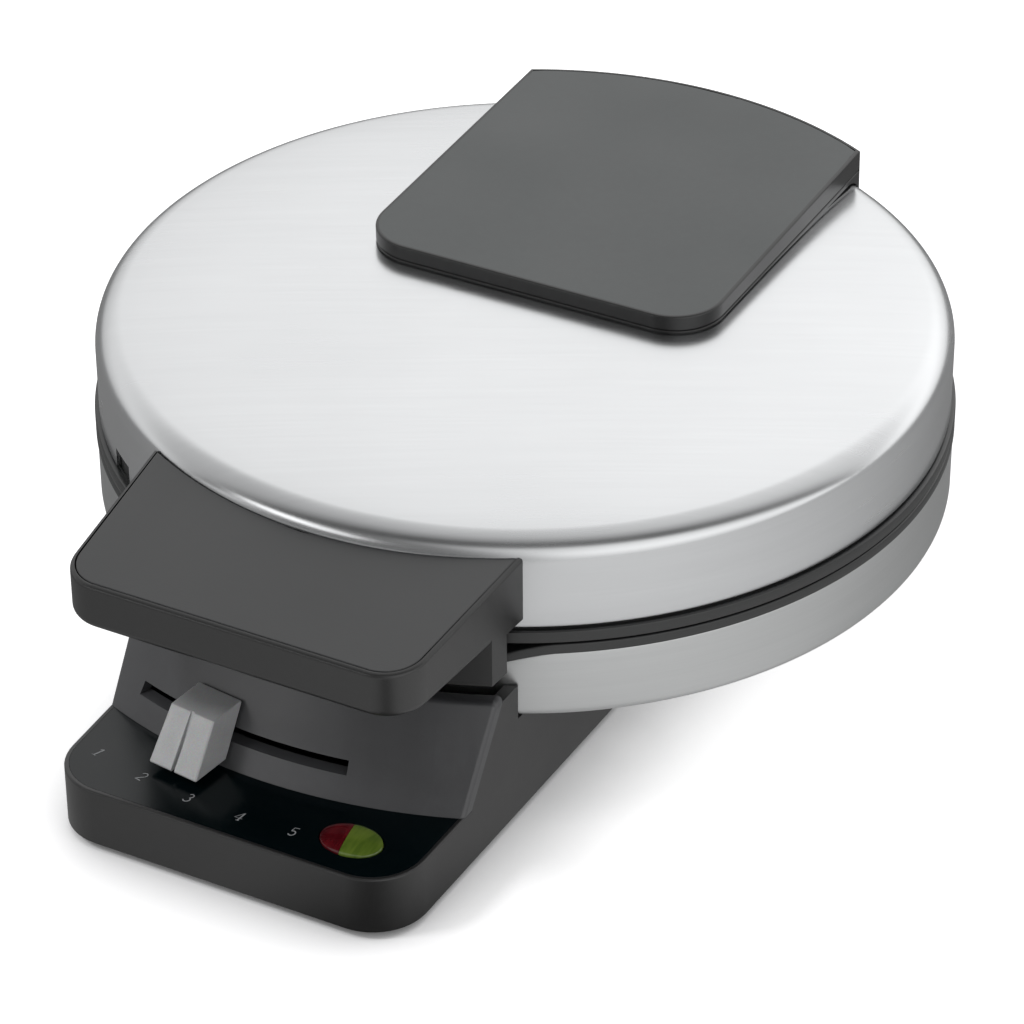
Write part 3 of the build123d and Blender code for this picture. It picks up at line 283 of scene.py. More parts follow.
def make_moulded_grain():
    """Fine spark-eroded grain of moulded plastic, with broad uneven sheen."""
    outputs = ("Height", "Sheen", "Tone")
    tree, given, result = new_group("moulded_grain", {"Fineness": 2600.0}, outputs)
    where = given["Vector"]
    grain = add_node(tree, "ShaderNodeTexVoronoi", feature="SMOOTH_F1")
    grain.inputs["Smoothness"].default_value = 0.6
    link(tree, where, grain.inputs["Vector"])
    link(tree, given["Fineness"], grain.inputs["Scale"])
    fine = noise(tree, where, scale=5200.0, detail=2.0)
    broad = noise(tree, where, scale=24.0, roughness=0.55)
    patches = noise(tree, where, scale=95.0, detail=4.0, roughness=0.6)
    link(tree, math_node(tree, "ADD", grain.outputs["Distance"], fine), result["Height"])
    link(tree, broad, result["Sheen"])
    link(tree, product(tree, patches, broad), result["Tone"])
    return tree


def make_brushing():
    """Brush lines: long streaks along the vector's first axis, packed along its second."""
    inputs, outputs = {"Length": 18.0, "Fineness": 2600.0}, ("Height", "Streaks", "Cloud")
    tree, given, result = new_group("brushing", inputs, outputs)
    along, across, _ = axes(tree, given["Vector"])

    def lines(share, detail):
        joined = add_node(tree, "ShaderNodeCombineXYZ")
        link(tree, product(tree, along, given["Length"]), joined.inputs[0])
        link(tree, product(tree, across, given["Fineness"], share), joined.inputs[1])
        return noise(tree, joined.outputs[0], scale=1.0, detail=detail, roughness=0.62)

    both = math_node(tree, "ADD", lines(share=1.0, detail=4.0), lines(share=0.22, detail=3.0))
    link(tree, both, result["Height"])
    link(tree, product(tree, both, 0.5), result["Streaks"])
    link(tree, noise(tree, given["Vector"], scale=21.0), result["Cloud"])
    return tree


def make_edge_wear():
    """Where an outer edge is rubbed: a mask from the surface's pointiness, broken up by noise."""
    tree, given, result = new_group("edge_wear", {"Reach": 0.03}, ("Mask",))
    pointiness = add_node(tree, "ShaderNodeNewGeometry").outputs["Pointiness"]
    rise = math_node(tree, "SUBTRACT", pointiness, 0.5)
    edge = math_node(tree, "DIVIDE", rise, given["Reach"], clamp=True)
    patches = noise(tree, given["Vector"], scale=420.0, detail=4.0, roughness=0.6)
    broken = map_range(tree, patches, 0.35, 0.7, 0.3, 1.0)
    link(tree, math_node(tree, "MULTIPLY", edge, broken, clamp=True), result["Mask"])
    return tree


GRAIN = make_moulded_grain()
BRUSHING = make_brushing()
EDGE_WEAR = make_edge_wear()
NOISE_SPAN = (0.3, 0.7)
WALL_BRUSHING = {"Length": 22.0, "Fineness": 1500.0}
TOP_BRUSHING = {"Length": 18.0, "Fineness": 1200.0}


def shade(colour, factor, lift=0.0):
    """A colour made darker or paler."""
    return tuple(min(1.0, factor * c + lift) for c in colour)


class Finish:
    """A material with its Principled shader, its object coordinates and the groups placed in it."""

    def __init__(self, name, colour, roughness, metallic=0.0, **plain):
        self.material = bpy.data.materials.new(name)
        self.material.use_nodes = True
        self.material.diffuse_color = (*colour, 1.0)
        self.tree = self.material.node_tree
        self.shader = self.tree.nodes["Principled BSDF"]
        self.roughness = roughness
        self.set("Base Color", (*colour, 1.0))
        self.set("Roughness", roughness)
        self.set("Metallic", metallic)
        for key, value in plain.items():
            self.set(key.replace("_", " "), value)
        self.where = add_node(self.tree, "ShaderNodeTexCoord").outputs["Object"]

    def set(self, socket, value):
        self.shader.inputs[socket].default_value = value

    def feed(self, value, socket):
        link(self.tree, value, self.shader.inputs[socket])

    def group(self, group, vector=None, **numbers):
        """Places a shared group and sets its numbers; returns its outputs."""
        node = add_node(self.tree, "ShaderNodeGroup", node_tree=group)
        link(self.tree, vector or self.where, node.inputs["Vector"])
        for key, value in numbers.items():
            node.inputs[key].default_value = value
        return node.outputs

    def tint(self, mask, low, high, first, second, most=1.0):
        """Colours the surface from first towards second as a mask goes from low to high."""
        share = map_range(self.tree, mask, low, high, 0.0, most)
        self.feed(mix_colour(self.tree, share, first, second), "Base Color")

    def vary_roughness(self, mask, less, more):
        """Makes the surface a little glossier where a noise is low, and duller where it is high."""
        least, most = self.roughness - less, self.roughness + more
        self.feed(map_range(self.tree, mask, *NOISE_SPAN, least, most), "Roughness")

    def relief(self, height, depth, strength):
        """Raises the surface by a height, as a bump."""
        node = add_node(self.tree, "ShaderNodeBump")
        node.inputs["Distance"].default_value = depth
        node.inputs["Strength"].default_value = strength
        link(self.tree, height, node.inputs["Height"])
        self.feed(node.outputs["Normal"], "Normal")

    def around(self):
        """Coordinates wrapped round the cooking body: arc length and height."""
        tree = self.tree
        x, y, height = axes(tree, vector_node(tree, "SUBTRACT", self.where, (0, AXIS_Y, 0)))
        angle = math_node(tree, "ARCTAN2", x, y)
        joined = add_node(tree, "ShaderNodeCombineXYZ")
        link(tree, product(tree, angle, LID_RADIUS), joined.inputs[0])
        link(tree, height, joined.inputs[1])
        return joined.outputs[0]

    def facing_up(self, low, high):
        """1 where the surface faces up, 0 where it stands upright."""
        normal = add_node(self.tree, "ShaderNodeNewGeometry").outputs["Normal"]
        return map_range(self.tree, axes(self.tree, normal)[2], low, high, 0.0, 1.0, smooth=True)


def moulded_plastic(name, colour, roughness, worn=0.25, fineness=2600.0, depth=0.012 * MM, sheen=0.9):
    """Moulded plastic: fine grain, slightly uneven sheen and paler rubbed edges."""
    finish = Finish(name, colour, roughness, Specular_IOR_Level=sheen)
    tree = finish.tree
    grain = finish.group(GRAIN, Fineness=fineness)
    wear = finish.group(EDGE_WEAR, Reach=0.05)
    patches = map_range(tree, grain["Tone"], 0.12, 0.42, 0.0, 1.0)
    mottled = mix_colour(tree, patches, shade(colour, 0.86), colour)
    rub = product(tree, wear["Mask"], worn)
    finish.feed(mix_colour(tree, rub, mottled, shade(colour, 1.5, lift=0.012)), "Base Color")
    finish.vary_roughness(grain["Sheen"], 0.05, 0.06)
    finish.relief(grain["Height"], depth, strength=0.5)
    return finish.material


def brushed_sheet(name, colour, roughness, top_angle=None):
    """Brushed stainless sheet. Its upright wall is brushed round; its top, straight across."""
    finish = Finish(name, colour, roughness, metallic=1.0)
    tree = finish.tree
    labels = ("Height", "Streaks", "Cloud")
    round_lines = finish.group(BRUSHING, finish.around(), **WALL_BRUSHING)
    height, streaks, cloud = (round_lines[label] for label in labels)
    if top_angle is not None:
        turned = add_node(tree, "ShaderNodeVectorRotate", rotation_type="Z_AXIS")
        turned.inputs["Angle"].default_value = top_angle
        link(tree, finish.where, turned.inputs["Vector"])
        straight = finish.group(BRUSHING, turned.outputs[0], **TOP_BRUSHING)
        up = finish.facing_up(0.55, 0.9)

        def either(label):
            node = add_node(tree, "ShaderNodeMix", data_type="FLOAT")
            for source, index in zip((up, round_lines[label], straight[label]), FLOAT_MIX_INPUTS):
                link(tree, source, node.inputs[index])
            return node.outputs[FLOAT_MIX_OUTPUT]

        height, streaks, cloud = (either(label) for label in labels)
    finish.tint(streaks, 0.36, 0.64, shade(colour, 0.955), colour)
    by_streak = map_range(tree, streaks, *NOISE_SPAN, -0.03, 0.03)
    by_cloud = map_range(tree, cloud, *NOISE_SPAN, roughness - 0.03, roughness + 0.04)
    finish.feed(math_node(tree, "ADD", by_streak, by_cloud), "Roughness")
    finish.relief(height, 0.002 * MM, strength=0.3)
    return finish.material


def plain_metal(name, colour, roughness, tint=None, fineness=900.0):
    """Small metal parts: plated, turned or cast, with stains and fine scratches."""
    finish = Finish(name, colour, roughness, metallic=1.0)
    lines = finish.group(BRUSHING, Length=300.0, Fineness=fineness)
    stains = noise(finish.tree, finish.where, scale=160.0, detail=4.0, roughness=0.6)
    finish.tint(stains, 0.42, 0.68, colour, tint or shade(colour, 0.8))
    finish.vary_roughness(lines["Streaks"], 0.06, 0.1)
    finish.relief(lines["Height"], 0.004 * MM, strength=0.4)
    return finish.material


def nonstick_coat(name, colour, roughness):
    """Dark sprayed coat on a casting: orange-peel bump and pale flecks."""
    finish = Finish(name, colour, roughness, Coat_Weight=0.25, Coat_Roughness=0.3)
    peel = noise(finish.tree, finish.where, scale=900.0)
    flecks = noise(finish.tree, finish.where, scale=2600.0, detail=2.0)
    finish.tint(flecks, 0.66, 0.74, colour, shade(colour, 4.0), most=0.5)
    finish.vary_roughness(peel, 0.06, 0.08)
    finish.relief(peel, 0.03 * MM, strength=0.35)
    return finish.material


def lens_plastic(name, colour, deep):
    """Clear tinted plastic: paler where light gathers, deeper in broad soft bands."""
    finish = Finish(name, colour, 0.16, Coat_Weight=0.8, Coat_Roughness=0.06, Specular_IOR_Level=0.6)
    tree = finish.tree
    ribbed = vector_node(tree, "MULTIPLY", finish.where, (900.0, 160.0, 160.0))
    ribs = noise(tree, ribbed, scale=1.0, detail=1.0)
    bands = noise(tree, finish.where, scale=190.0, detail=2.0)
    finish.tint(math_node(tree, "ADD", ribs, bands), 0.75, 1.2, colour, deep)
    finish.relief(ribs, 0.02 * MM, strength=0.2)
    return finish.material


def satin_paint(name, colour, roughness):
    """Metallic satin paint on plastic: fine flakes and edges rubbed a little paler."""
    finish = Finish(name, colour, roughness, metallic=0.15)
    tree = finish.tree
    flakes = add_node(tree, "ShaderNodeTexVoronoi")
    flakes.inputs["Scale"].default_value = 5200.0
    link(tree, finish.where, flakes.inputs["Vector"])
    sparkle = mix_colour(tree, 0.1, colour, flakes.outputs["Color"])
    rub = product(tree, finish.group(EDGE_WEAR, Reach=0.08)["Mask"], 0.35)
    finish.feed(mix_colour(tree, rub, sparkle, shade(colour, 1.25)), "Base Color")
    finish.vary_roughness(noise(tree, finish.where, scale=260.0), 0.04, 0.05)
    finish.relief(flakes.outputs["Distance"], 0.004 * MM, strength=0.3)
    return finish.material


def printed_ink(name, colour):
    """Screen-printed ink: matte, with small gaps in its cover."""
    finish = Finish(name, colour, 0.55)
    cover = map_range(finish.tree, noise(finish.tree, finish.where, scale=3200.0), 0.3, 0.42, 0.0, 1.0)
    finish.feed(mix_colour(finish.tree, cover, shade(colour, 0.6), colour), "Base Color")
    finish.relief(cover, 0.01 * MM, strength=0.3)
    return finish.material


finishes = {
    "brushed_lid_steel": brushed_sheet("brushed_lid", (0.80, 0.81, 0.82), 0.24, math.radians(-28)),
    "brushed_shell_steel": brushed_sheet("brushed_shell", (0.70, 0.71, 0.71), 0.33),
    "black_plastic": moulded_plastic("black_moulding", (0.0135, 0.0135, 0.0135), 0.36),
    "black_caps": moulded_plastic("black_cap", (0.019, 0.020, 0.021), 0.34, worn=0.15),
    "rim_plastic": moulded_plastic("rim_moulding", (0.014, 0.015, 0.015), 0.34),
    "gloss_black": moulded_plastic(
        "legend_gloss", (0.0005, 0.0035, 0.0045), 0.19,
        worn=0.02, fineness=500.0, depth=0.001 * MM, sheen=0.42,
    ),
    "cover_plastic": moulded_plastic(
        "cover_moulding", (0.03, 0.03, 0.031), 0.55, fineness=1500.0, depth=0.03 * MM
    ),
    "nonstick": nonstick_coat("nonstick_coat", (0.055, 0.055, 0.058), 0.34),
    "heater_steel": plain_metal("heater_sheath", (0.26, 0.24, 0.21), 0.5, tint=(0.10, 0.08, 0.11)),
    "reflector_sheet": plain_metal("reflector_sheet", (0.78, 0.79, 0.80), 0.24),
    "screw_steel": plain_metal("screw_zinc", (0.56, 0.57, 0.58), 0.3, tint=(0.44, 0.43, 0.40)),
    "pin_steel": plain_metal("turned_steel", (0.60, 0.61, 0.62), 0.24, fineness=2200.0),
    "knob_silver": satin_paint("knob_silver", (0.5, 0.505, 0.51), 0.33),
    "red_lens": lens_plastic("lens_red", (0.14, 0.008, 0.012), (0.07, 0.003, 0.006)),
    "green_lens": lens_plastic("lens_green", (0.15, 0.22, 0.030), (0.09, 0.15, 0.018)),
    "lamp_glass": moulded_plastic("lamp_glass", (0.75, 0.74, 0.68), 0.15, worn=0.0, fineness=300.0),
    "foot_rubber": moulded_plastic(
        "foot_rubber", (0.022, 0.022, 0.022), 0.75, fineness=1200.0, depth=0.04 * MM
    ),
    "bush_rubber": moulded_plastic("bush_rubber", (0.025, 0.025, 0.025), 0.7, fineness=1200.0),
    "thermostat_body": plain_metal("thermostat_can", (0.50, 0.50, 0.47), 0.38, tint=(0.34, 0.31, 0.26)),
    "fuse_body": plain_metal("fuse_can", (0.66, 0.66, 0.64), 0.32),
    "arm_plastic": moulded_plastic("arm_moulding", (0.014, 0.014, 0.014), 0.4),
}
# The panel's moulding: a glossier plastic whose grey is raised well above the other black plastics, partly
# its own tone and partly a painted sheen standing in for the soft box's reflection
panel_moulding_painted_sheen = moulded_plastic("panel_moulding_painted_sheen", (0.062, 0.063, 0.067), 0.36, sheen=1.0)
cover_cap = moulded_plastic("cover_cap", (0.042, 0.050, 0.050), 0.34, worn=0.15)
pale_ink = printed_ink("pale_ink", (0.36, 0.37, 0.38))

node_slot = {entry["node"]: entry["material_slot"] for entry in frame["record"]["subparts"]}
for node_name, node_object in frame["nodes"].items():
    node_object.data.materials.clear()
    node_object.data.materials.append(finishes[node_slot[node_name]])


# Mesh helpers

def smooth(mesh, angle=SMOOTH_ANGLE):
    mesh.shade_smooth()
    mesh.set_sharp_from_angle(angle=math.radians(angle))


def put_in_scene(thing):
    bpy.context.scene.collection.objects.link(thing)


def make_piece(name, mesh, material, body, slot):
    piece = bpy.data.objects.new(name, mesh)
    put_in_scene(piece)
    mesh.materials.clear()
    mesh.materials.append(material)
    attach(piece, body)
    return piece


def stand_for(node, name, mesh, material=None):
    """A piece that replaces one CAD node, on its body, in its slot's finish unless it is given another."""
    slot = node_slot[node]
    piece = make_piece(name, mesh, material or finishes[slot], frame["nodes"][node]["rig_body"], slot)
    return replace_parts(piece, node)


def mesh_from(b, name, angle=SMOOTH_ANGLE):
    bmesh.ops.recalc_face_normals(b, faces=b.faces)
    mesh = bpy.data.meshes.new(name)
    b.to_mesh(mesh)
    b.free()
    smooth(mesh, angle)
    return mesh


def evened(mesh):
    """The same mesh with normals weighted by area, so that broad faces stay flat beside rounded edges."""
    helper = bpy.data.objects.new("helper", mesh)
    put_in_scene(helper)
    weights = helper.modifiers.new("weights", "WEIGHTED_NORMAL")
    weights.mode, weights.weight, weights.keep_sharp = "FACE_AREA", 50, True
    depsgraph = bpy.context.evaluated_depsgraph_get()
    ready = bpy.data.meshes.new_from_object(
        helper.evaluated_get(depsgraph), preserve_all_data_layers=True, depsgraph=depsgraph
    )
    ready.name = mesh.name
    bpy.data.objects.remove(helper)
    bpy.data.meshes.remove(mesh)
    return ready


def plain_copy(node):
    """A CAD node's own form as a bmesh with its doubled vertices merged."""
    source = frame["nodes"][node].data
    plain = bpy.data.meshes.new(node)
    plain.from_pydata([v.co[:] for v in source.vertices], [], [tuple(p.vertices) for p in source.polygons])
    b = bmesh.new()
    b.from_mesh(plain)
    bpy.data.meshes.remove(plain)
    bmesh.ops.remove_doubles(b, verts=b.verts, dist=DOUBLED_WITHIN)
    return b


def united(first, second):
    """The forms of two CAD nodes that touch, made into one closed form."""
    helpers = []
    for node in (first, second):
        mesh = bpy.data.meshes.new(node)
        b = plain_copy(node)
        b.to_mesh(mesh)
        b.free()
        helpers.append(bpy.data.objects.new(node + "_helper", mesh))
        put_in_scene(helpers[-1])
    union = helpers[0].modifiers.new("union", "BOOLEAN")
    union.operation, union.solver, union.object = "UNION", "EXACT", helpers[1]
    ready = helpers[0].evaluated_get(bpy.context.evaluated_depsgraph_get())
    b = bmesh.new()
    b.from_mesh(ready.to_mesh())
    for helper in helpers:
        mesh = helper.data
        bpy.data.objects.remove(helper)
        bpy.data.meshes.remove(mesh)
    return b


def islands(node):
    """The points of each separate solid of a CAD node."""
    b = plain_copy(node)
    groups, seen = [], set()
    for start in b.verts:
        if start in seen:
            continue
        seen.add(start)
        waiting, found = [start], []
        while waiting:
            vert = waiting.pop()
            found.append(vert.co.copy())
            for edge in vert.link_edges:
                other = edge.other_vert(vert)
                if other not in seen:
                    seen.add(other)
                    waiting.append(other)
        groups.append(found)
    b.free()
    return groups


def close_seam(b, front_gap, rear_gap, smallest):
    """Grows a let-in cap outwards into its seam, and its top over most of its edge rounding."""
    b.normal_update()
    moves = []
    for vert in b.verts:
        sides = [face.normal for face in vert.link_faces if abs(face.normal.z) < CAP_SIDE_RISE]
        outward = sum((Vector((n.x, n.y, 0)) for n in sides), Vector())
        if outward.length < CAP_LEAST_TURN:
            continue
        on_top = any(
            face.normal.z > CAP_TOP_RISE and face.calc_area() > CAP_TOP_AREA for face in vert.link_faces
        )
        gap = rear_gap if outward.y > CAP_REAR_TURN * outward.length else front_gap
        moves.append((vert, outward.normalized() * (2 * gap if on_top else gap)))
    for vert, move in moves:
        vert.co += move
    bmesh.ops.dissolve_degenerate(b, dist=smallest, edges=b.edges)


def lift_towards_lid(b, front, rear, rise, floor):
    """Tilts the upper part of the handle so that its top meets the lid's rolled edge."""
    for vert in b.verts:
        if vert.co.z > floor:
            vert.co.z += rise * (vert.co.y - front) / (rear - front)


def brim_edges(b):
    """The outer edges between a form's top face and its upright sides."""
    middle = sum((v.co for v in b.verts), Vector()) / len(b.verts)
    chosen = []
    for edge in b.edges:
        if not edge.is_manifold or edge.calc_face_angle(0.0) < BRIM_TURN:
            continue
        upper, side = sorted(edge.link_faces, key=lambda face: -face.normal.z)
        here = (edge.verts[0].co + edge.verts[1].co) / 2
        outside = side.normal.dot(here - middle) > 0 and edge.is_convex and here.z > middle.z
        upright = upper.normal.z > BRIM_TOP_RISE and abs(side.normal.z) < BRIM_SIDE_RISE
        against_lid = side.normal.y > BRIM_REAR_TURN and here.y < 0
        if upright and outside and not against_lid:
            chosen.append(edge)
    return chosen


def round_edges(b, edges, width, segments, profile):
    bmesh.ops.bevel(
        b, geom=edges, offset=width, offset_type="OFFSET", segments=segments, profile=profile,
        affect="EDGES", clamp_overlap=True,
    )


def rounded_form(name, b, width, brim=0.0):
    """A form with its sharp edges rounded off; its outer top edge may have a wider brim rounding."""
    bmesh.ops.dissolve_limit(b, angle_limit=FLAT_ANGLE, verts=b.verts, edges=b.edges)
    if brim:
        bmesh.ops.recalc_face_normals(b, faces=b.faces)
        round_edges(b, brim_edges(b), brim, segments=5, profile=0.5)
    sharp = [e for e in b.edges if e.is_manifold and e.calc_face_angle(0.0) > SHARP_TURN]
    round_edges(b, sharp, width, segments=2, profile=0.6)
    bmesh.ops.dissolve_degenerate(b, dist=SMALLEST_EDGE, edges=b.edges)
    return evened(mesh_from(b, name))


def arc_points(centre_x, centre_y, radius_x, radius_y, start, end, steps):
    """Points on an elliptical arc, from one angle to another in degrees."""
    points = []
    for k in range(steps + 1):
        turn = math.radians(start + (end - start) * k / steps)
        points.append((centre_x + radius_x * math.cos(turn), centre_y + radius_y * math.sin(turn)))
    return points


def dip(angle, radius):
    """How far the lower rim drops at an angle from straight ahead, at a radius."""
    if math.cos(angle) < 0:
        return 0.0
    away = abs(radius * math.sin(angle))
    share = min(1.0, max(0.0, (DIP_SHOULDER - away) / (DIP_SHOULDER - DIP_FLOOR)))
    return DIP_DEPTH * share * share * (3 - 2 * share)


def lathe(profile, angles, closed=False, drop=None):
    """A bmesh turned about the cooking body's axis; angle 0 is straight ahead, towards -Y.

    profile holds (radius, height) points. drop(angle, radius, index) lowers a point.
    """
    b = bmesh.new()
    columns = []
    poles = {}
    for angle in angles:
        column = []
        for index, (radius, height) in enumerate(profile):
            if radius < SMALLEST_EDGE:
                if index not in poles:
                    poles[index] = b.verts.new((0, AXIS_Y, height))
                column.append(poles[index])
                continue
            x, y = radius * math.sin(angle), AXIS_Y - radius * math.cos(angle)
            z = height - (drop(angle, radius, index) if drop else 0.0)
            column.append(b.verts.new((x, y, z)))
        columns.append(column)
    rows = len(profile) if closed else len(profile) - 1
    for column, following in zip(columns, columns[1:] + columns[:1]):
        for row in range(rows):
            above = (row + 1) % len(profile)
            corners = [column[row], following[row], following[above], column[above]]
            corners = list(dict.fromkeys(corners))
            if len(corners) > 2:
                b.faces.new(corners)
    return b


def even_angles(extra=()):
    """Angles all round, with extra ones put in and near neighbours left out."""
    gap = math.pi / ROUND_STEPS
    plain = [2 * math.pi * k / ROUND_STEPS - math.pi for k in range(ROUND_STEPS)]
    kept = [a for a in plain if all(abs(a - e) > gap for e in extra)]
    return sorted([*kept, *extra])


def thicken(b, depth):
    """Gives an outer skin its thickness, inward."""
    bmesh.ops.recalc_face_normals(b, faces=b.faces)
    bmesh.ops.solidify(b, geom=b.faces, thickness=depth)


# Steel lid

def make_lid():
    half = NOTCH_WIDTH / 2 / LID_RADIUS
    sides = (NOTCH_ANGLE - half, NOTCH_ANGLE + half)
    notch_top = lid_low.z + NOTCH_HEIGHT
    flat = LID_RADIUS - LID_EDGE_RADIUS
    crown_top = lid_high.z + LID_CROWN / 2
    shares = [k / CROWN_RINGS for k in range(CROWN_RINGS)]
    profile = [(flat * share, crown_top - LID_CROWN * share ** CROWN_POWER) for share in shares]
    edge_height = LID_EDGE_RADIUS - LID_CROWN / 2
    slope = math.degrees(CROWN_POWER * LID_CROWN / flat)
    edge_level = lid_high.z - LID_EDGE_RADIUS
    profile += arc_points(flat, edge_level, LID_EDGE_RADIUS, edge_height, 90 - slope, 0, 14)
    profile += [(LID_RADIUS, notch_top), (LID_RADIUS, lid_low.z + HEM)]
    profile += arc_points(LID_RADIUS - HEM, lid_low.z + HEM, HEM, HEM, 0, -90, 3)[1:]
    b = lathe(profile, even_angles(sides))
    notch = []
    for face in b.faces:
        middle = face.calc_center_median()
        angle = math.atan2(middle.x, AXIS_Y - middle.y)
        low_enough = all(v.co.z < notch_top + SMALLEST_EDGE for v in face.verts)
        if sides[0] < angle < sides[1] and low_enough:
            notch.append(face)
    bmesh.ops.delete(b, geom=notch, context="FACES")
    thicken(b, SHEET)
    return mesh_from(b, "lid_sheet")


stand_for("lid_shell", "lid_sheet", make_lid())


# Steel pan of the lower half

def make_lower_shell():
    rim, floor = shell_high.z, SHELL_FLOOR
    profile = [(0, shell_low.z), (WELL_RADIUS - HEM, shell_low.z), (WELL_RADIUS, shell_low.z + HEM)]
    profile += [(WELL_RADIUS, floor - HEM), (WELL_RADIUS + HEM, floor)]
    profile += [(SHELL_RADIUS * share, floor) for share in (0.5, 0.75, 0.95)]
    inner = SHELL_RADIUS - SHELL_EDGE_RADIUS
    wall_start = floor + SHELL_EDGE_RADIUS
    profile += arc_points(inner, wall_start, SHELL_EDGE_RADIUS, SHELL_EDGE_RADIUS, -90, 0, 6)
    first_wall = len(profile)
    wall = rim - HEM - wall_start
    profile += [(SHELL_RADIUS, wall_start + wall * (k + 1) / WALL_ROWS) for k in range(WALL_ROWS)]
    profile += arc_points(SHELL_RADIUS - HEM, rim - HEM, HEM, HEM, 0, 90, 3)[1:]

    def drop(angle, radius, index):
        share = (index - first_wall + 1) / WALL_ROWS
        return dip(angle, radius) * min(1.0, max(0.0, share))

    b = lathe(profile, even_angles(), drop=drop)
    thicken(b, SHEET)
    return mesh_from(b, "shell_sheet")


stand_for("lower_shell", "shell_sheet", make_lower_shell())


# Plastic rings: upper one plain, lower one following the dip

def rounded_corner(x, y, turn_from, radius=RING_ROUND):
    """Quarter-round points at a corner whose centre lies inside by the radius."""
    signs = {0: (-1, -1), 90: (1, -1), 180: (1, 1), 270: (-1, 1)}[turn_from]
    centre = (x + signs[0] * radius, y + signs[1] * radius)
    return arc_points(*centre, radius, radius, turn_from, turn_from + 90, 4)


def make_upper_ring():
    inner_step = LID_RADIUS - SHEET + SHADOW_GAP / 2
    spigot = LID_RADIUS - SHEET - SPIGOT_GAP
    profile = [(RING_BORE, upper_ring_low.z)]
    profile += rounded_corner(RING_RADIUS, upper_ring_low.z, 270)
    profile += rounded_corner(RING_RADIUS, lid_low.z - SHADOW_GAP, 0)
    profile += [
        (inner_step, lid_low.z - SHADOW_GAP),
        (inner_step, lid_low.z),
        (spigot, lid_low.z),
        (spigot, upper_ring_high.z),
        (spigot - 2 * SHEET, upper_ring_high.z),
        (spigot - 2 * SHEET, lid_low.z),
        (RING_BORE, lid_low.z),
    ]
    return mesh_from(lathe(profile, even_angles(), closed=True), "upper_ring")


def make_lower_ring():
    top = lower_ring_high.z
    bottom = top - LOWER_RING_HEIGHT
    spigot = SHELL_RADIUS - SHEET - SPIGOT_GAP
    profile = [(RING_BORE, top), (RING_BORE, bottom), (spigot - 2 * SHEET, bottom)]
    profile += [(spigot - 2 * SHEET, lower_ring_low.z), (spigot, lower_ring_low.z), (spigot, bottom)]
    profile += rounded_corner(RING_RADIUS, bottom, 270, RING_ROUND / 2)
    profile += rounded_corner(RING_RADIUS, top, 0)
    b = lathe(profile, even_angles(), closed=True, drop=lambda angle, radius, index: dip(angle, radius))
    return mesh_from(b, "lower_ring")


stand_for("upper_trim_ring", "upper_ring", make_upper_ring())
stand_for("lower_trim_ring", "lower_ring", make_lower_ring())


# Mouldings, castings and small parts: the solids' own forms, their edges rounded by a width in millimetres
ROUNDED_NODES = {
    "base_housing": 0.35,
    "control_panel": 0.25,
    "legend_plate": 0.08,
    "handle_body": 0.08,
    "handle_cap": 0.06,
    "hinge_cover": 0.08,
    "hinge_cover_cap": 0.06,
    "bottom_cover": 0.35,
    "hinge_bracket": 0.3,
    "hinge_arm": 0.4,
    "slider_arm": 0.2,
    "inlet_bush": 0.35,
    "thermostat": 0.5,
    "terminal_block": 0.4,
    "lamp_holder": 0.3,
    "hinge_pin": 0.4,
    "thermostat_shaft": 0.25,
    "shaft_clip": 0.15,
    "lid_spacers": 0.3,
}
BRIM_ROUND = {"handle_body": 0.9 * MM, "hinge_cover": 1.0 * MM}
OWN_FINISH = {"hinge_cover_cap": cover_cap, "control_panel": panel_moulding_painted_sheen}
# How far each cap grows into its seam at its front and sides, at its rear, and the smallest edge it keeps
CAP_SEAMS = {
    "handle_cap": (0.05 * MM, 0.22 * MM, 0.02 * MM),
    "hinge_cover_cap": (0.22 * MM, 0.22 * MM, 0.08 * MM),
}
HANDLE_RISE = 2.0 * MM
HANDLE_TILTED_DEPTH = 4.5 * MM
handle_low, handle_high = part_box("handle_body")
handle_tilt = (handle_low.y, handle_high.y, HANDLE_RISE, handle_high.z - HANDLE_TILTED_DEPTH)
for node_name, width in ROUNDED_NODES.items():
    plain = plain_copy(node_name)
    if node_name in CAP_SEAMS:
        bmesh.ops.dissolve_limit(plain, angle_limit=FLAT_ANGLE, verts=plain.verts, edges=plain.edges)
        close_seam(plain, *CAP_SEAMS[node_name])
    if node_name in ("handle_body", "handle_cap"):
        lift_towards_lid(plain, *handle_tilt)
    form = rounded_form(node_name + "_form", plain, width * MM, BRIM_ROUND.get(node_name, 0.0))
    stand_for(node_name, node_name + "_form", form, OWN_FINISH.get(node_name))

# Each cooking plate is one casting, made of two solids
PLATE_ROUND = 0.45 * MM
for half, body in (("lower", "base"), ("upper", "lid")):
    dish, rim = half + "_plate", half + "_plate_frame"
    casting = rounded_form(half + "_casting", united(dish, rim), PLATE_ROUND)
    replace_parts(make_piece(half + "_casting", casting, finishes["nonstick"], body, "nonstick"), dish, rim)


# Screws: pan heads with a cross recess, and rolled threads. A head's shoulder is a share of its height and
# its arcs are shares of a quarter turn. A thread runs out over so many half turns, and the tip's radius is a
# share of the shank's.

CROSS_HALF = 0.42 * MM
CROSS_REACH = 1.65 * MM
CROSS_DEPTH = 1.1 * MM
CROSS_LIP = 0.05 * MM
CROSS_TAPER = 0.72
HEAD_EDGE = 0.2 * MM
HEAD_CROWN = 1.9 * MM
HEAD_FLAT = 1.85 * MM
HEAD_SHOULDER = 0.45
HEAD_ARCS = (0.0, 0.35, 0.65, 0.88)
THREAD_PITCH = 1.0 * MM
THREAD_DEPTH = 0.3 * MM
THREAD_RUN_OUT = 3
TIP_RADIUS = 0.25
TIP_LENGTH = 0.6 * THREAD_PITCH

# How a screw is read from its solid: what belongs to the head, what lies off the axis, and what is level
HEAD_SHARE = 0.9
LEAST_SHANK = 0.5 * MM
SAME_LEVEL = 0.1 * MM


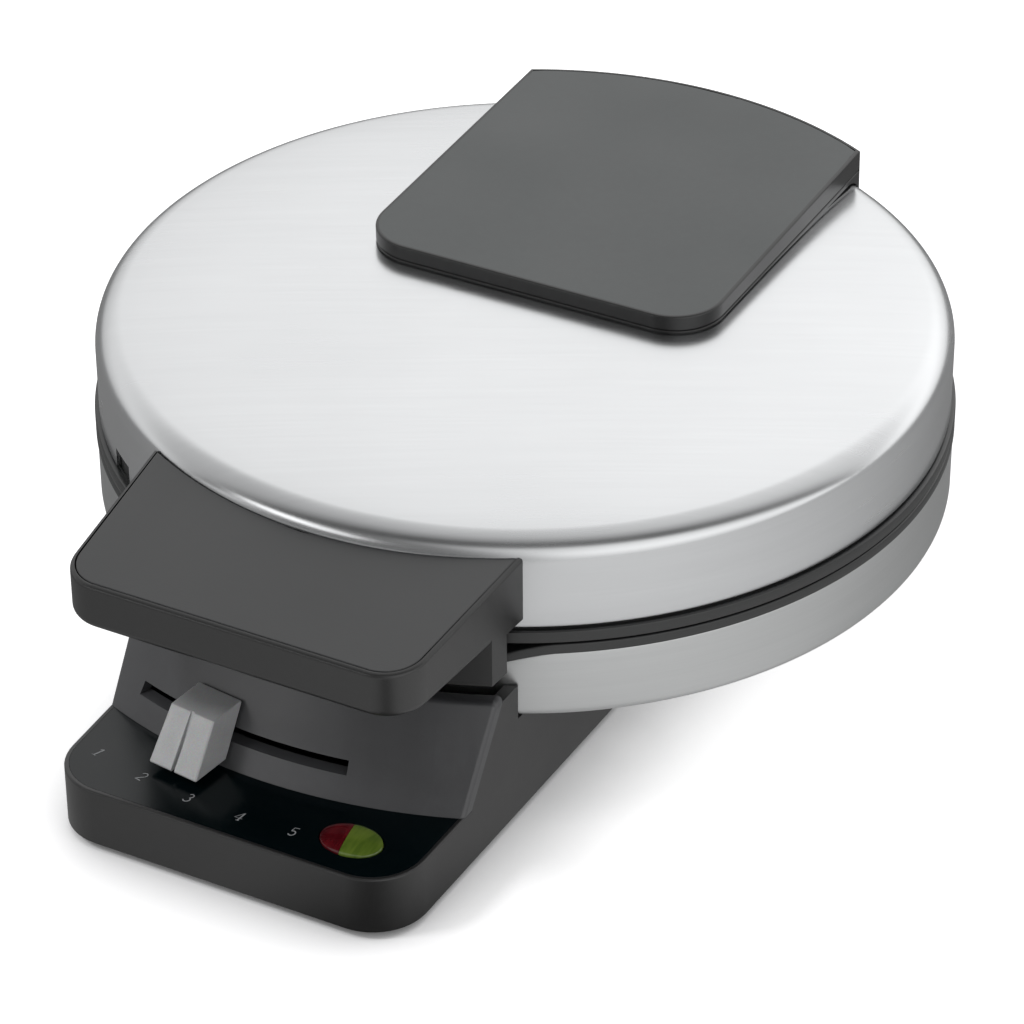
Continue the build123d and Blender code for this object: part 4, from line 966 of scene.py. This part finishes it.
def cross_radius(angle):
    """Distance from the middle to the outline of a cross, in one direction."""
    turn = abs((angle + math.pi / 4) % (math.pi / 2) - math.pi / 4)
    if turn < math.atan2(CROSS_HALF, CROSS_REACH):
        return CROSS_REACH / math.cos(turn)
    return CROSS_HALF / math.sin(turn)


def cross_angles():
    corner = math.atan2(CROSS_HALF, CROSS_REACH)
    first = (-corner, 0.0, corner, math.radians(28), math.radians(45), math.radians(62))
    return [quarter * math.pi / 2 + turn for quarter in range(4) for turn in first]


def add_rings(b, rings, place):
    """Skins a stack of equal rings and closes both ends; place turns a local point into the model's."""
    loops = [[b.verts.new(place(point)) for point in ring] for ring in rings]
    count = len(loops[0])
    for near, far in zip(loops, loops[1:]):
        for k in range(count):
            n = (k + 1) % count
            b.faces.new((near[k], near[n], far[n], far[k]))
    b.faces.new(loops[-1])
    b.faces.new(list(reversed(loops[0])))


def ring_at(radius, height, angles, tilt=0.0):
    """One ring; radius may be a function of the angle."""
    size = radius if callable(radius) else (lambda angle: radius)
    return [
        Vector((size(a) * math.cos(a), size(a) * math.sin(a), height + tilt * math.cos(a)))
        for a in angles
    ]


def add_screw(b, place, head_radius, head_height, shank_radius, length):
    """A screw along local Z: head upwards from 0, shank downwards."""
    angles = cross_angles()
    root = shank_radius - THREAD_DEPTH
    count = max(2, int(length / THREAD_PITCH * 2) - 2)
    tip = TIP_LENGTH - length
    rings = [ring_at(TIP_RADIUS * shank_radius, -length, angles), ring_at(root, tip, angles)]
    for k in range(1, count + 1):
        tilt = THREAD_PITCH / 4 * min(1.0, min(k, count + 1 - k) / THREAD_RUN_OUT)
        crest = shank_radius if k % 2 else root
        rings.append(ring_at(crest, tip * (1 - k / (count + 1)), angles, tilt))
    rings += [ring_at(root, 0.0, angles), ring_at(head_radius - HEAD_EDGE, 0.0, angles)]
    rings += [ring_at(head_radius, HEAD_EDGE, angles)]
    shoulder = HEAD_SHOULDER * head_height
    for share in HEAD_ARCS:
        turn = share * math.pi / 2
        narrow = head_radius - (head_radius - HEAD_CROWN) * (1 - math.cos(turn))
        rings.append(ring_at(narrow, shoulder + (head_height - shoulder) * math.sin(turn), angles))
    rings.append(ring_at(HEAD_FLAT, head_height, angles))
    rings.append(ring_at(cross_radius, head_height - CROSS_LIP, angles))
    rings.append(ring_at(lambda a: CROSS_TAPER * cross_radius(a), head_height - CROSS_DEPTH, angles))
    add_rings(b, rings, place)


def span(values):
    values = list(values)
    return min(values), max(values)


def make_screws(node, outward):
    """All screws of a node, placed on the solids; outward gives a solid's axis from its middle point."""
    b = bmesh.new()
    for points in islands(node):
        axis = outward(sum(points, Vector()) / len(points))
        side = axis.orthogonal().normalized()
        across = axis.cross(side)
        spans = [span(p.dot(d) for p in points) for d in (side, across, axis)]
        centre = side * sum(spans[0]) / 2 + across * sum(spans[1]) / 2
        head_radius = (spans[0][1] - spans[0][0]) / 2

        def reach(p):
            return (p - centre - axis * p.dot(axis)).length

        wide = [p.dot(axis) for p in points if reach(p) > HEAD_SHARE * head_radius]
        shank_radius = min(reach(p) for p in points if reach(p) > LEAST_SHANK)
        if min(wide) < spans[2][0] + SAME_LEVEL:
            axis, across = -axis, -across
            spans[2] = (-spans[2][1], -spans[2][0])
            wide = [-h for h in wide]
        seat, top, tip = min(wide), max(wide), spans[2][0]

        def place(point):
            return centre + side * point.x + across * point.y + axis * (seat + point.z)

        add_screw(b, place, head_radius, top - seat, shank_radius, seat - tip)
    return mesh_from(b, node + "_threads", THREAD_SMOOTH_ANGLE)


def straight_up(middle):
    return Vector((0, 0, 1))


def from_axis(middle):
    return Vector((middle.x, middle.y - AXIS_Y, 0)).normalized()


SCREW_NODES = {
    "bottom_screws": straight_up,
    "bracket_screws": straight_up,
    "cover_screws": straight_up,
    "lower_plate_screws": straight_up,
    "shell_screws": straight_up,
    "upper_plate_screws": straight_up,
    "handle_screws": from_axis,
    "hinge_arm_screws": from_axis,
}
for node_name, direction in SCREW_NODES.items():
    stand_for(node_name, node_name + "_threads", make_screws(node_name, direction))


# Small round parts, turned about an upright line

# Feet: radii and heights in millimetres. The heights are from the ground, from the bottom cover's underside,
# from its top, and from the stem's tip.
FOOT_TREAD = ((0.3, 0.5), (2.2, 0.5), (2.5, 0.0), (4.1, 0.0), (4.3, 0.5), (5.1, 0.5), (5.3, 0.0))
FOOT_NECK = ((2.5, 0.0),)
FOOT_BARB = ((2.5, 0.0), (3.4, 0.0), (3.5, 0.15))
FOOT_TIP = ((2.4, 0.0), (0.6, 0.0))
FOOT_ROUND = 0.8 * MM
FOOT_TOP_ROUND = 0.3 * MM

# Indicator lamps: shares of the radius, levels on the pinched foot, and the sealing pip's outline, as shares
# of the radius and depths below its tip
LAMP_FOOT_SHARE = 0.4
LAMP_FOOT = 0.7 * MM
LAMP_NECK = 0.9 * MM
LAMP_GLASS_STEP = 0.1 * MM
LAMP_DOME_SHARE = 0.8
LAMP_PIP = 0.4 * MM
LAMP_PIP_POINTS = ((0.16, 0.35 * MM), (0.12, 0.05 * MM), (0.05, 0.0))


def full_turn(steps):
    return [2 * math.pi * k / steps for k in range(steps)]


def add_turned(b, x, y, profile, steps=40):
    angles = full_turn(steps)
    rings = [ring_at(radius, height, angles) for radius, height in profile]
    add_rings(b, rings, lambda p: p + Vector((x, y, 0)))


def middles(node):
    """Each separate solid's middle seen from above, its lowest and highest level, and its radius."""
    for points in islands(node):
        (x0, x1), (y0, y1), (z0, z1) = (span(p[k] for p in points) for k in range(3))
        yield (x0 + x1) / 2, (y0 + y1) / 2, z0, z1, (x1 - x0) / 2


def at_level(level, pairs):
    """Profile points from pairs in millimetres: a radius, and a height above a level."""
    return [(radius * MM, level + height * MM) for radius, height in pairs]


def make_feet():
    """Rubber feet with a ring moulded in the tread and a barbed stem."""
    b = bmesh.new()
    cover_low, cover_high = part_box("bottom_cover")
    for x, y, low, high, radius in middles("rubber_feet"):
        profile = at_level(low, FOOT_TREAD)
        profile += arc_points(radius - FOOT_ROUND, low + FOOT_ROUND, FOOT_ROUND, FOOT_ROUND, -90, 0, 5)
        top = cover_low.z - FOOT_TOP_ROUND
        profile += arc_points(radius - FOOT_TOP_ROUND, top, FOOT_TOP_ROUND, FOOT_TOP_ROUND, 0, 90, 3)
        profile += at_level(cover_low.z, FOOT_NECK) + at_level(cover_high.z, FOOT_BARB)
        profile += at_level(high, FOOT_TIP)
        add_turned(b, x, y, profile)
    return mesh_from(b, "feet")


def make_lamps():
    """Small glass lamps: a pinched foot, a straight tube and a domed tip with a sealing pip."""
    b = bmesh.new()
    for x, y, low, high, radius in middles("indicator_lamps"):
        glass = radius - LAMP_GLASS_STEP
        profile = [(LAMP_FOOT_SHARE * radius, low), (radius, low)]
        profile += [(radius, low + LAMP_FOOT), (glass, low + LAMP_NECK)]
        dome = high - LAMP_PIP - LAMP_DOME_SHARE * glass
        profile += arc_points(0, dome, glass, LAMP_DOME_SHARE * glass, 0, 78, 8)
        profile += [(share * radius, high - below) for share, below in LAMP_PIP_POINTS]
        add_turned(b, x, y, profile, 28)
    return mesh_from(b, "lamps")


stand_for("rubber_feet", "feet", make_feet())
stand_for("indicator_lamps", "lamps", make_lamps())


# Printed numbers 1 to 5: strokes in a unit square, each with its points and its width
DIGIT_STROKES = {
    1: [
        ([(0.5, 0.02), (0.5, 0.98)], 0.13),
        ([(0.3, 0.78), (0.48, 0.96)], 0.06),
        ([(0.32, 0.02), (0.68, 0.02)], 0.05),
    ],
    2: [
        (arc_points(0.48, 0.72, 0.23, 0.26, 165, -30, 12) + [(0.26, 0.05)], 0.09),
        ([(0.24, 0.05), (0.76, 0.05)], 0.1),
    ],
    3: [
        (arc_points(0.46, 0.76, 0.2, 0.22, 150, -80, 12), 0.09),
        (arc_points(0.46, 0.28, 0.25, 0.26, 82, -150, 12), 0.11),
    ],
    4: [
        ([(0.58, 0.98), (0.18, 0.3), (0.82, 0.3)], 0.06),
        ([(0.6, 0.98), (0.6, 0.02)], 0.13),
        ([(0.46, 0.02), (0.74, 0.02)], 0.05),
    ],
    5: [
        ([(0.74, 0.96), (0.36, 0.96), (0.3, 0.56)], 0.08),
        (arc_points(0.47, 0.31, 0.25, 0.28, 128, -150, 12), 0.11),
    ],
}


def add_stroke(b, points, width, place):
    """A flat closed ribbon along a stroke; place turns a point of the digit into one on the plate."""
    sides = []
    for k, (x, y) in enumerate(points):
        before, after = points[max(0, k - 1)], points[min(len(points) - 1, k + 1)]
        along = Vector((after[0] - before[0], after[1] - before[1])).normalized()
        across = Vector((-along.y, along.x)) * width / 2
        sides.append([
            b.verts.new(place(x + sign * across.x, y + sign * across.y, level))
            for level in (0, 1) for sign in (-1, 1)
        ])
    order = (0, 1, 3, 2)
    for near, far in zip(sides, sides[1:]):
        for k in range(4):
            i, j = order[k], order[(k + 1) % 4]
            b.faces.new((near[i], near[j], far[j], far[i]))
    for end in (sides[0], sides[-1]):
        b.faces.new([end[i] for i in order])


def make_numbers():
    b = bmesh.new()
    for number, angle in enumerate(NUMBER_ANGLES, start=1):
        turn = math.radians(angle)
        outward = Vector((math.sin(turn), -math.cos(turn), 0))
        right = Vector((-outward.y, outward.x, 0))
        middle = Vector((0, AXIS_Y, legend_high.z)) + outward * NUMBER_RADIUS

        def place(x, y, level):
            sideways = (x - 0.5 + NUMBER_SLANT * (y - 0.5)) * NUMBER_HEIGHT
            upward = (y - 0.5) * NUMBER_HEIGHT
            return middle + right * sideways - outward * upward + Vector((0, 0, level * PRINT_HEIGHT))

        for points, width in DIGIT_STROKES[number]:
            add_stroke(b, points, NUMBER_WEIGHT * width, place)
    return mesh_from(b, "numbers")


make_piece("numbers", make_numbers(), pale_ink, "base", "gloss_black")


# Indicator lens: an oval dome in two colours, split on a slightly slanted line; its arcs are in degrees

LENS_STEPS = 72
LENS_FLANGE = 0.8 * MM
LENS_RISE = 0.9 * MM
LENS_FULLNESS = 0.8
LENS_ARCS = range(12, 90, 12)
LENS_SPLIT_SHIFT = -1.0 * MM
LENS_SPLIT_SLANT = 0.16
LENS_SEAM = 0.06 * MM


def make_lens_half(node, side):
    red_low, red_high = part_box("red_lens")
    green_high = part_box("green_lens")[1]
    centre = Vector(((red_low.x + green_high.x) / 2, (red_low.y + red_high.y) / 2, 0))
    half_x = (green_high.x - red_low.x) / 2 - LENS_FLANGE
    half_y = (red_high.y - red_low.y) / 2 - LENS_FLANGE
    brim = red_high.z - LENS_RISE
    rings = [(1.0, red_low.z), (1.0, brim)]
    turns = [math.radians(degrees) for degrees in LENS_ARCS]
    rings += [(math.cos(t), brim + LENS_RISE * math.sin(t) ** LENS_FULLNESS) for t in turns]

    def place(p):
        return centre.x + half_x * p.x, centre.y + half_y * p.y, p.z

    b = bmesh.new()
    angles = full_turn(LENS_STEPS)
    add_rings(b, [ring_at(share, height, angles) for share, height in rings], place)
    split = Vector((side, side * LENS_SPLIT_SLANT, 0)).normalized()
    point = centre + Vector((LENS_SPLIT_SHIFT, 0, 0)) + split * LENS_SEAM / 2
    geometry = [*b.verts, *b.edges, *b.faces]
    made = bmesh.ops.bisect_plane(b, geom=geometry, plane_co=point, plane_no=split, clear_inner=True)
    edges = [e for e in made["geom_cut"] if isinstance(e, bmesh.types.BMEdge)]
    bmesh.ops.contextual_create(b, geom=edges)
    return mesh_from(b, node + "_dome")


stand_for("red_lens", "red_lens_dome", make_lens_half("red_lens", -1))
stand_for("green_lens", "green_lens_dome", make_lens_half("green_lens", 1))


# Studio: pale floor, soft light and the camera

def painted_floor_reflection(tree):
    """Painted reflection: how bright metal mirrors the floor, by the place on it, with a dark lane of
    painted shade.
    """
    where = add_node(tree, "ShaderNodeTexCoord").outputs["Object"]
    outward = vector_node(tree, "NORMALIZE", vector_node(tree, "MULTIPLY", where, (1.0, 1.0, 0.0)))
    toward = vector_node(tree, "DOT_PRODUCT", outward, FLOOR_PAINTED_BRIGHT_SIDE)
    turned = math_node(tree, "POWER", map_range(tree, toward, -1.0, 1.0, 0.0, 1.0), FLOOR_FADE)
    mirrored = map_range(tree, turned, 0.0, 1.0, *FLOOR_PAINTED_REFLECTION)
    across = vector_node(tree, "DOT_PRODUCT", where, (-FRONT.y, FRONT.x, 0.0))
    behind = vector_node(tree, "DOT_PRODUCT", where, -FRONT)
    beside = math_node(tree, "ABSOLUTE", math_node(tree, "SUBTRACT", across, FLOOR_LANE_MIDDLE))
    from_lane = math_node(tree, "ADD", beside, math_node(tree, "MAXIMUM", behind, 0.0))
    painted_lane_shade = map_range(tree, from_lane, *FLOOR_LANE_EDGES, FLOOR_LANE_PAINTED_SHADE, 1.0, smooth=True)
    return product(tree, mirrored, painted_lane_shade)


def floor_material():
    """Pale matt floor: a clean white ground with soft shadows and a painted contact shadow; metal mirrors it
    as a painted reflection.
    """
    material = bpy.data.materials.new("pale_floor")
    material.use_nodes = True
    tree = material.node_tree
    shader = tree.nodes["Principled BSDF"]
    shader.inputs["Roughness"].default_value = 0.9
    shader.inputs["Specular IOR Level"].default_value = 0.0
    shader.inputs["Emission Color"].default_value = (1.0, 1.0, 1.0, 1.0)
    path = add_node(tree, "ShaderNodeLightPath").outputs
    glossy = path["Is Glossy Ray"]
    # Painted reflection: glossy rays see the floor in an uneven grey of its own, darker in a lane, and
    # glowing
    mirrored = painted_floor_reflection(tree)
    painted_reflection_grey = add_node(tree, "ShaderNodeCombineColor")
    for socket in painted_reflection_grey.inputs:
        link(tree, mirrored, socket)
    tone = mix_colour(tree, glossy, FLOOR_TONE, painted_reflection_grey.outputs[0])
    link(tree, tone, shader.inputs["Base Color"])
    # Painted contact shadow: the white lift fades where a piece stands close over the floor
    painted_contact_shadow = add_node(tree, "ShaderNodeAmbientOcclusion", samples=8)
    painted_contact_shadow.inputs["Distance"].default_value = CONTACT_SHADOW_REACH
    open_share = math_node(tree, "POWER", painted_contact_shadow.outputs["AO"], CONTACT_SHADOW_DEPTH)
    seen = math_node(tree, "MAXIMUM", path["Is Camera Ray"], path["Is Transmission Ray"])
    lift = product(tree, seen, open_share, FLOOR_LIFT)
    painted_reflection_glow = product(tree, glossy, mirrored, FLOOR_PAINTED_REFLECTION_GLOW)
    link(tree, math_node(tree, "ADD", lift, painted_reflection_glow), shader.inputs["Emission Strength"])
    one_sided = add_node(tree, "ShaderNodeMixShader")
    underside = add_node(tree, "ShaderNodeNewGeometry").outputs["Backfacing"]
    clear = add_node(tree, "ShaderNodeBsdfTransparent").outputs[0]
    for source, socket in zip((underside, shader.outputs[0], clear), one_sided.inputs):
        link(tree, source, socket)
    link(tree, one_sided.outputs[0], tree.nodes["Material Output"].inputs["Surface"])
    return material


def make_floor():
    b = bmesh.new()
    centre = b.verts.new((0, 0, 0))
    rim = [b.verts.new((FLOOR_REACH * math.cos(a), FLOOR_REACH * math.sin(a), 0)) for a in full_turn(24)]
    for near, far in zip(rim, rim[1:] + rim[:1]):
        b.faces.new((centre, near, far))
    mesh = mesh_from(b, "floor")
    mesh.materials.append(floor_material())
    floor = bpy.data.objects.new("floor", mesh)
    put_in_scene(floor)


def make_world():
    """A studio lit by how far a direction is turned up from the back, over the top, to the front."""
    world = bpy.data.worlds.new("studio")
    bpy.context.scene.world = world
    world.use_nodes = True
    tree = world.node_tree
    background = tree.nodes["Background"]
    where = add_node(tree, "ShaderNodeTexCoord").outputs["Generated"]
    away = vector_node(tree, "DOT_PRODUCT", where, -FRONT)
    turn = math_node(tree, "ARCTAN2", axes(tree, where)[2], away)
    ramp = add_node(tree, "ShaderNodeValToRGB")
    link(tree, map_range(tree, turn, 0.0, math.pi, 0.0, 1.0), ramp.inputs[0])
    stops = ramp.color_ramp.elements
    while len(stops) < len(STUDIO_LIGHT):
        stops.new(1.0)
    for stop, (degrees, level) in zip(stops, STUDIO_LIGHT):
        stop.position = degrees / 180
        stop.color = (level, level, level, 1.0)
    ramp.color_ramp.interpolation = "EASE"
    link(tree, ramp.outputs["Color"], background.inputs["Color"])
    sideways = vector_node(tree, "DOT_PRODUCT", where, CAMERA_RIGHT)
    sides = map_range(tree, sideways, -STUDIO_SIDE_SPREAD, STUDIO_SIDE_SPREAD, *STUDIO_SIDES, smooth=True)
    (edge, edge_level), (middle, middle_level) = STUDIO_DIM
    near_patch = vector_node(tree, "DOT_PRODUCT", where, STUDIO_DIM_SIDE)
    dim = map_range(tree, near_patch, edge, middle, edge_level, middle_level, smooth=True)
    link(tree, product(tree, sides, dim, STUDIO_STRENGTH), background.inputs["Strength"])


def add_lamp(name, place, target, size, power, mirrored):
    data = bpy.data.lights.new(name, "AREA")
    data.shape = "ELLIPSE"
    data.size, data.size_y = size
    data.energy = power
    lamp = bpy.data.objects.new(name, data)
    lamp.location = place
    lamp.visible_glossy = mirrored
    lamp.rotation_euler = (Vector(target) - Vector(place)).to_track_quat("-Z", "Y").to_euler()
    put_in_scene(lamp)


def make_camera():
    data = bpy.data.cameras.new("camera")
    data.lens = FOCAL_PIXELS / IMAGE_PIXELS * SENSOR
    data.sensor_width = SENSOR
    data.clip_start, data.clip_end = CAMERA_CLIP
    camera = bpy.data.objects.new("camera", data)
    turned = Matrix((CAMERA_RIGHT, CAMERA_UP, CAMERA_BACK)).transposed()
    camera.matrix_world = Matrix.Translation(CAMERA_PLACE) @ turned.to_4x4()
    put_in_scene(camera)
    bpy.context.scene.camera = camera


make_floor()
make_world()
for lamp in LAMPS:
    add_lamp(*lamp)
make_camera()
bpy.context.scene.view_settings.view_transform = "Standard"
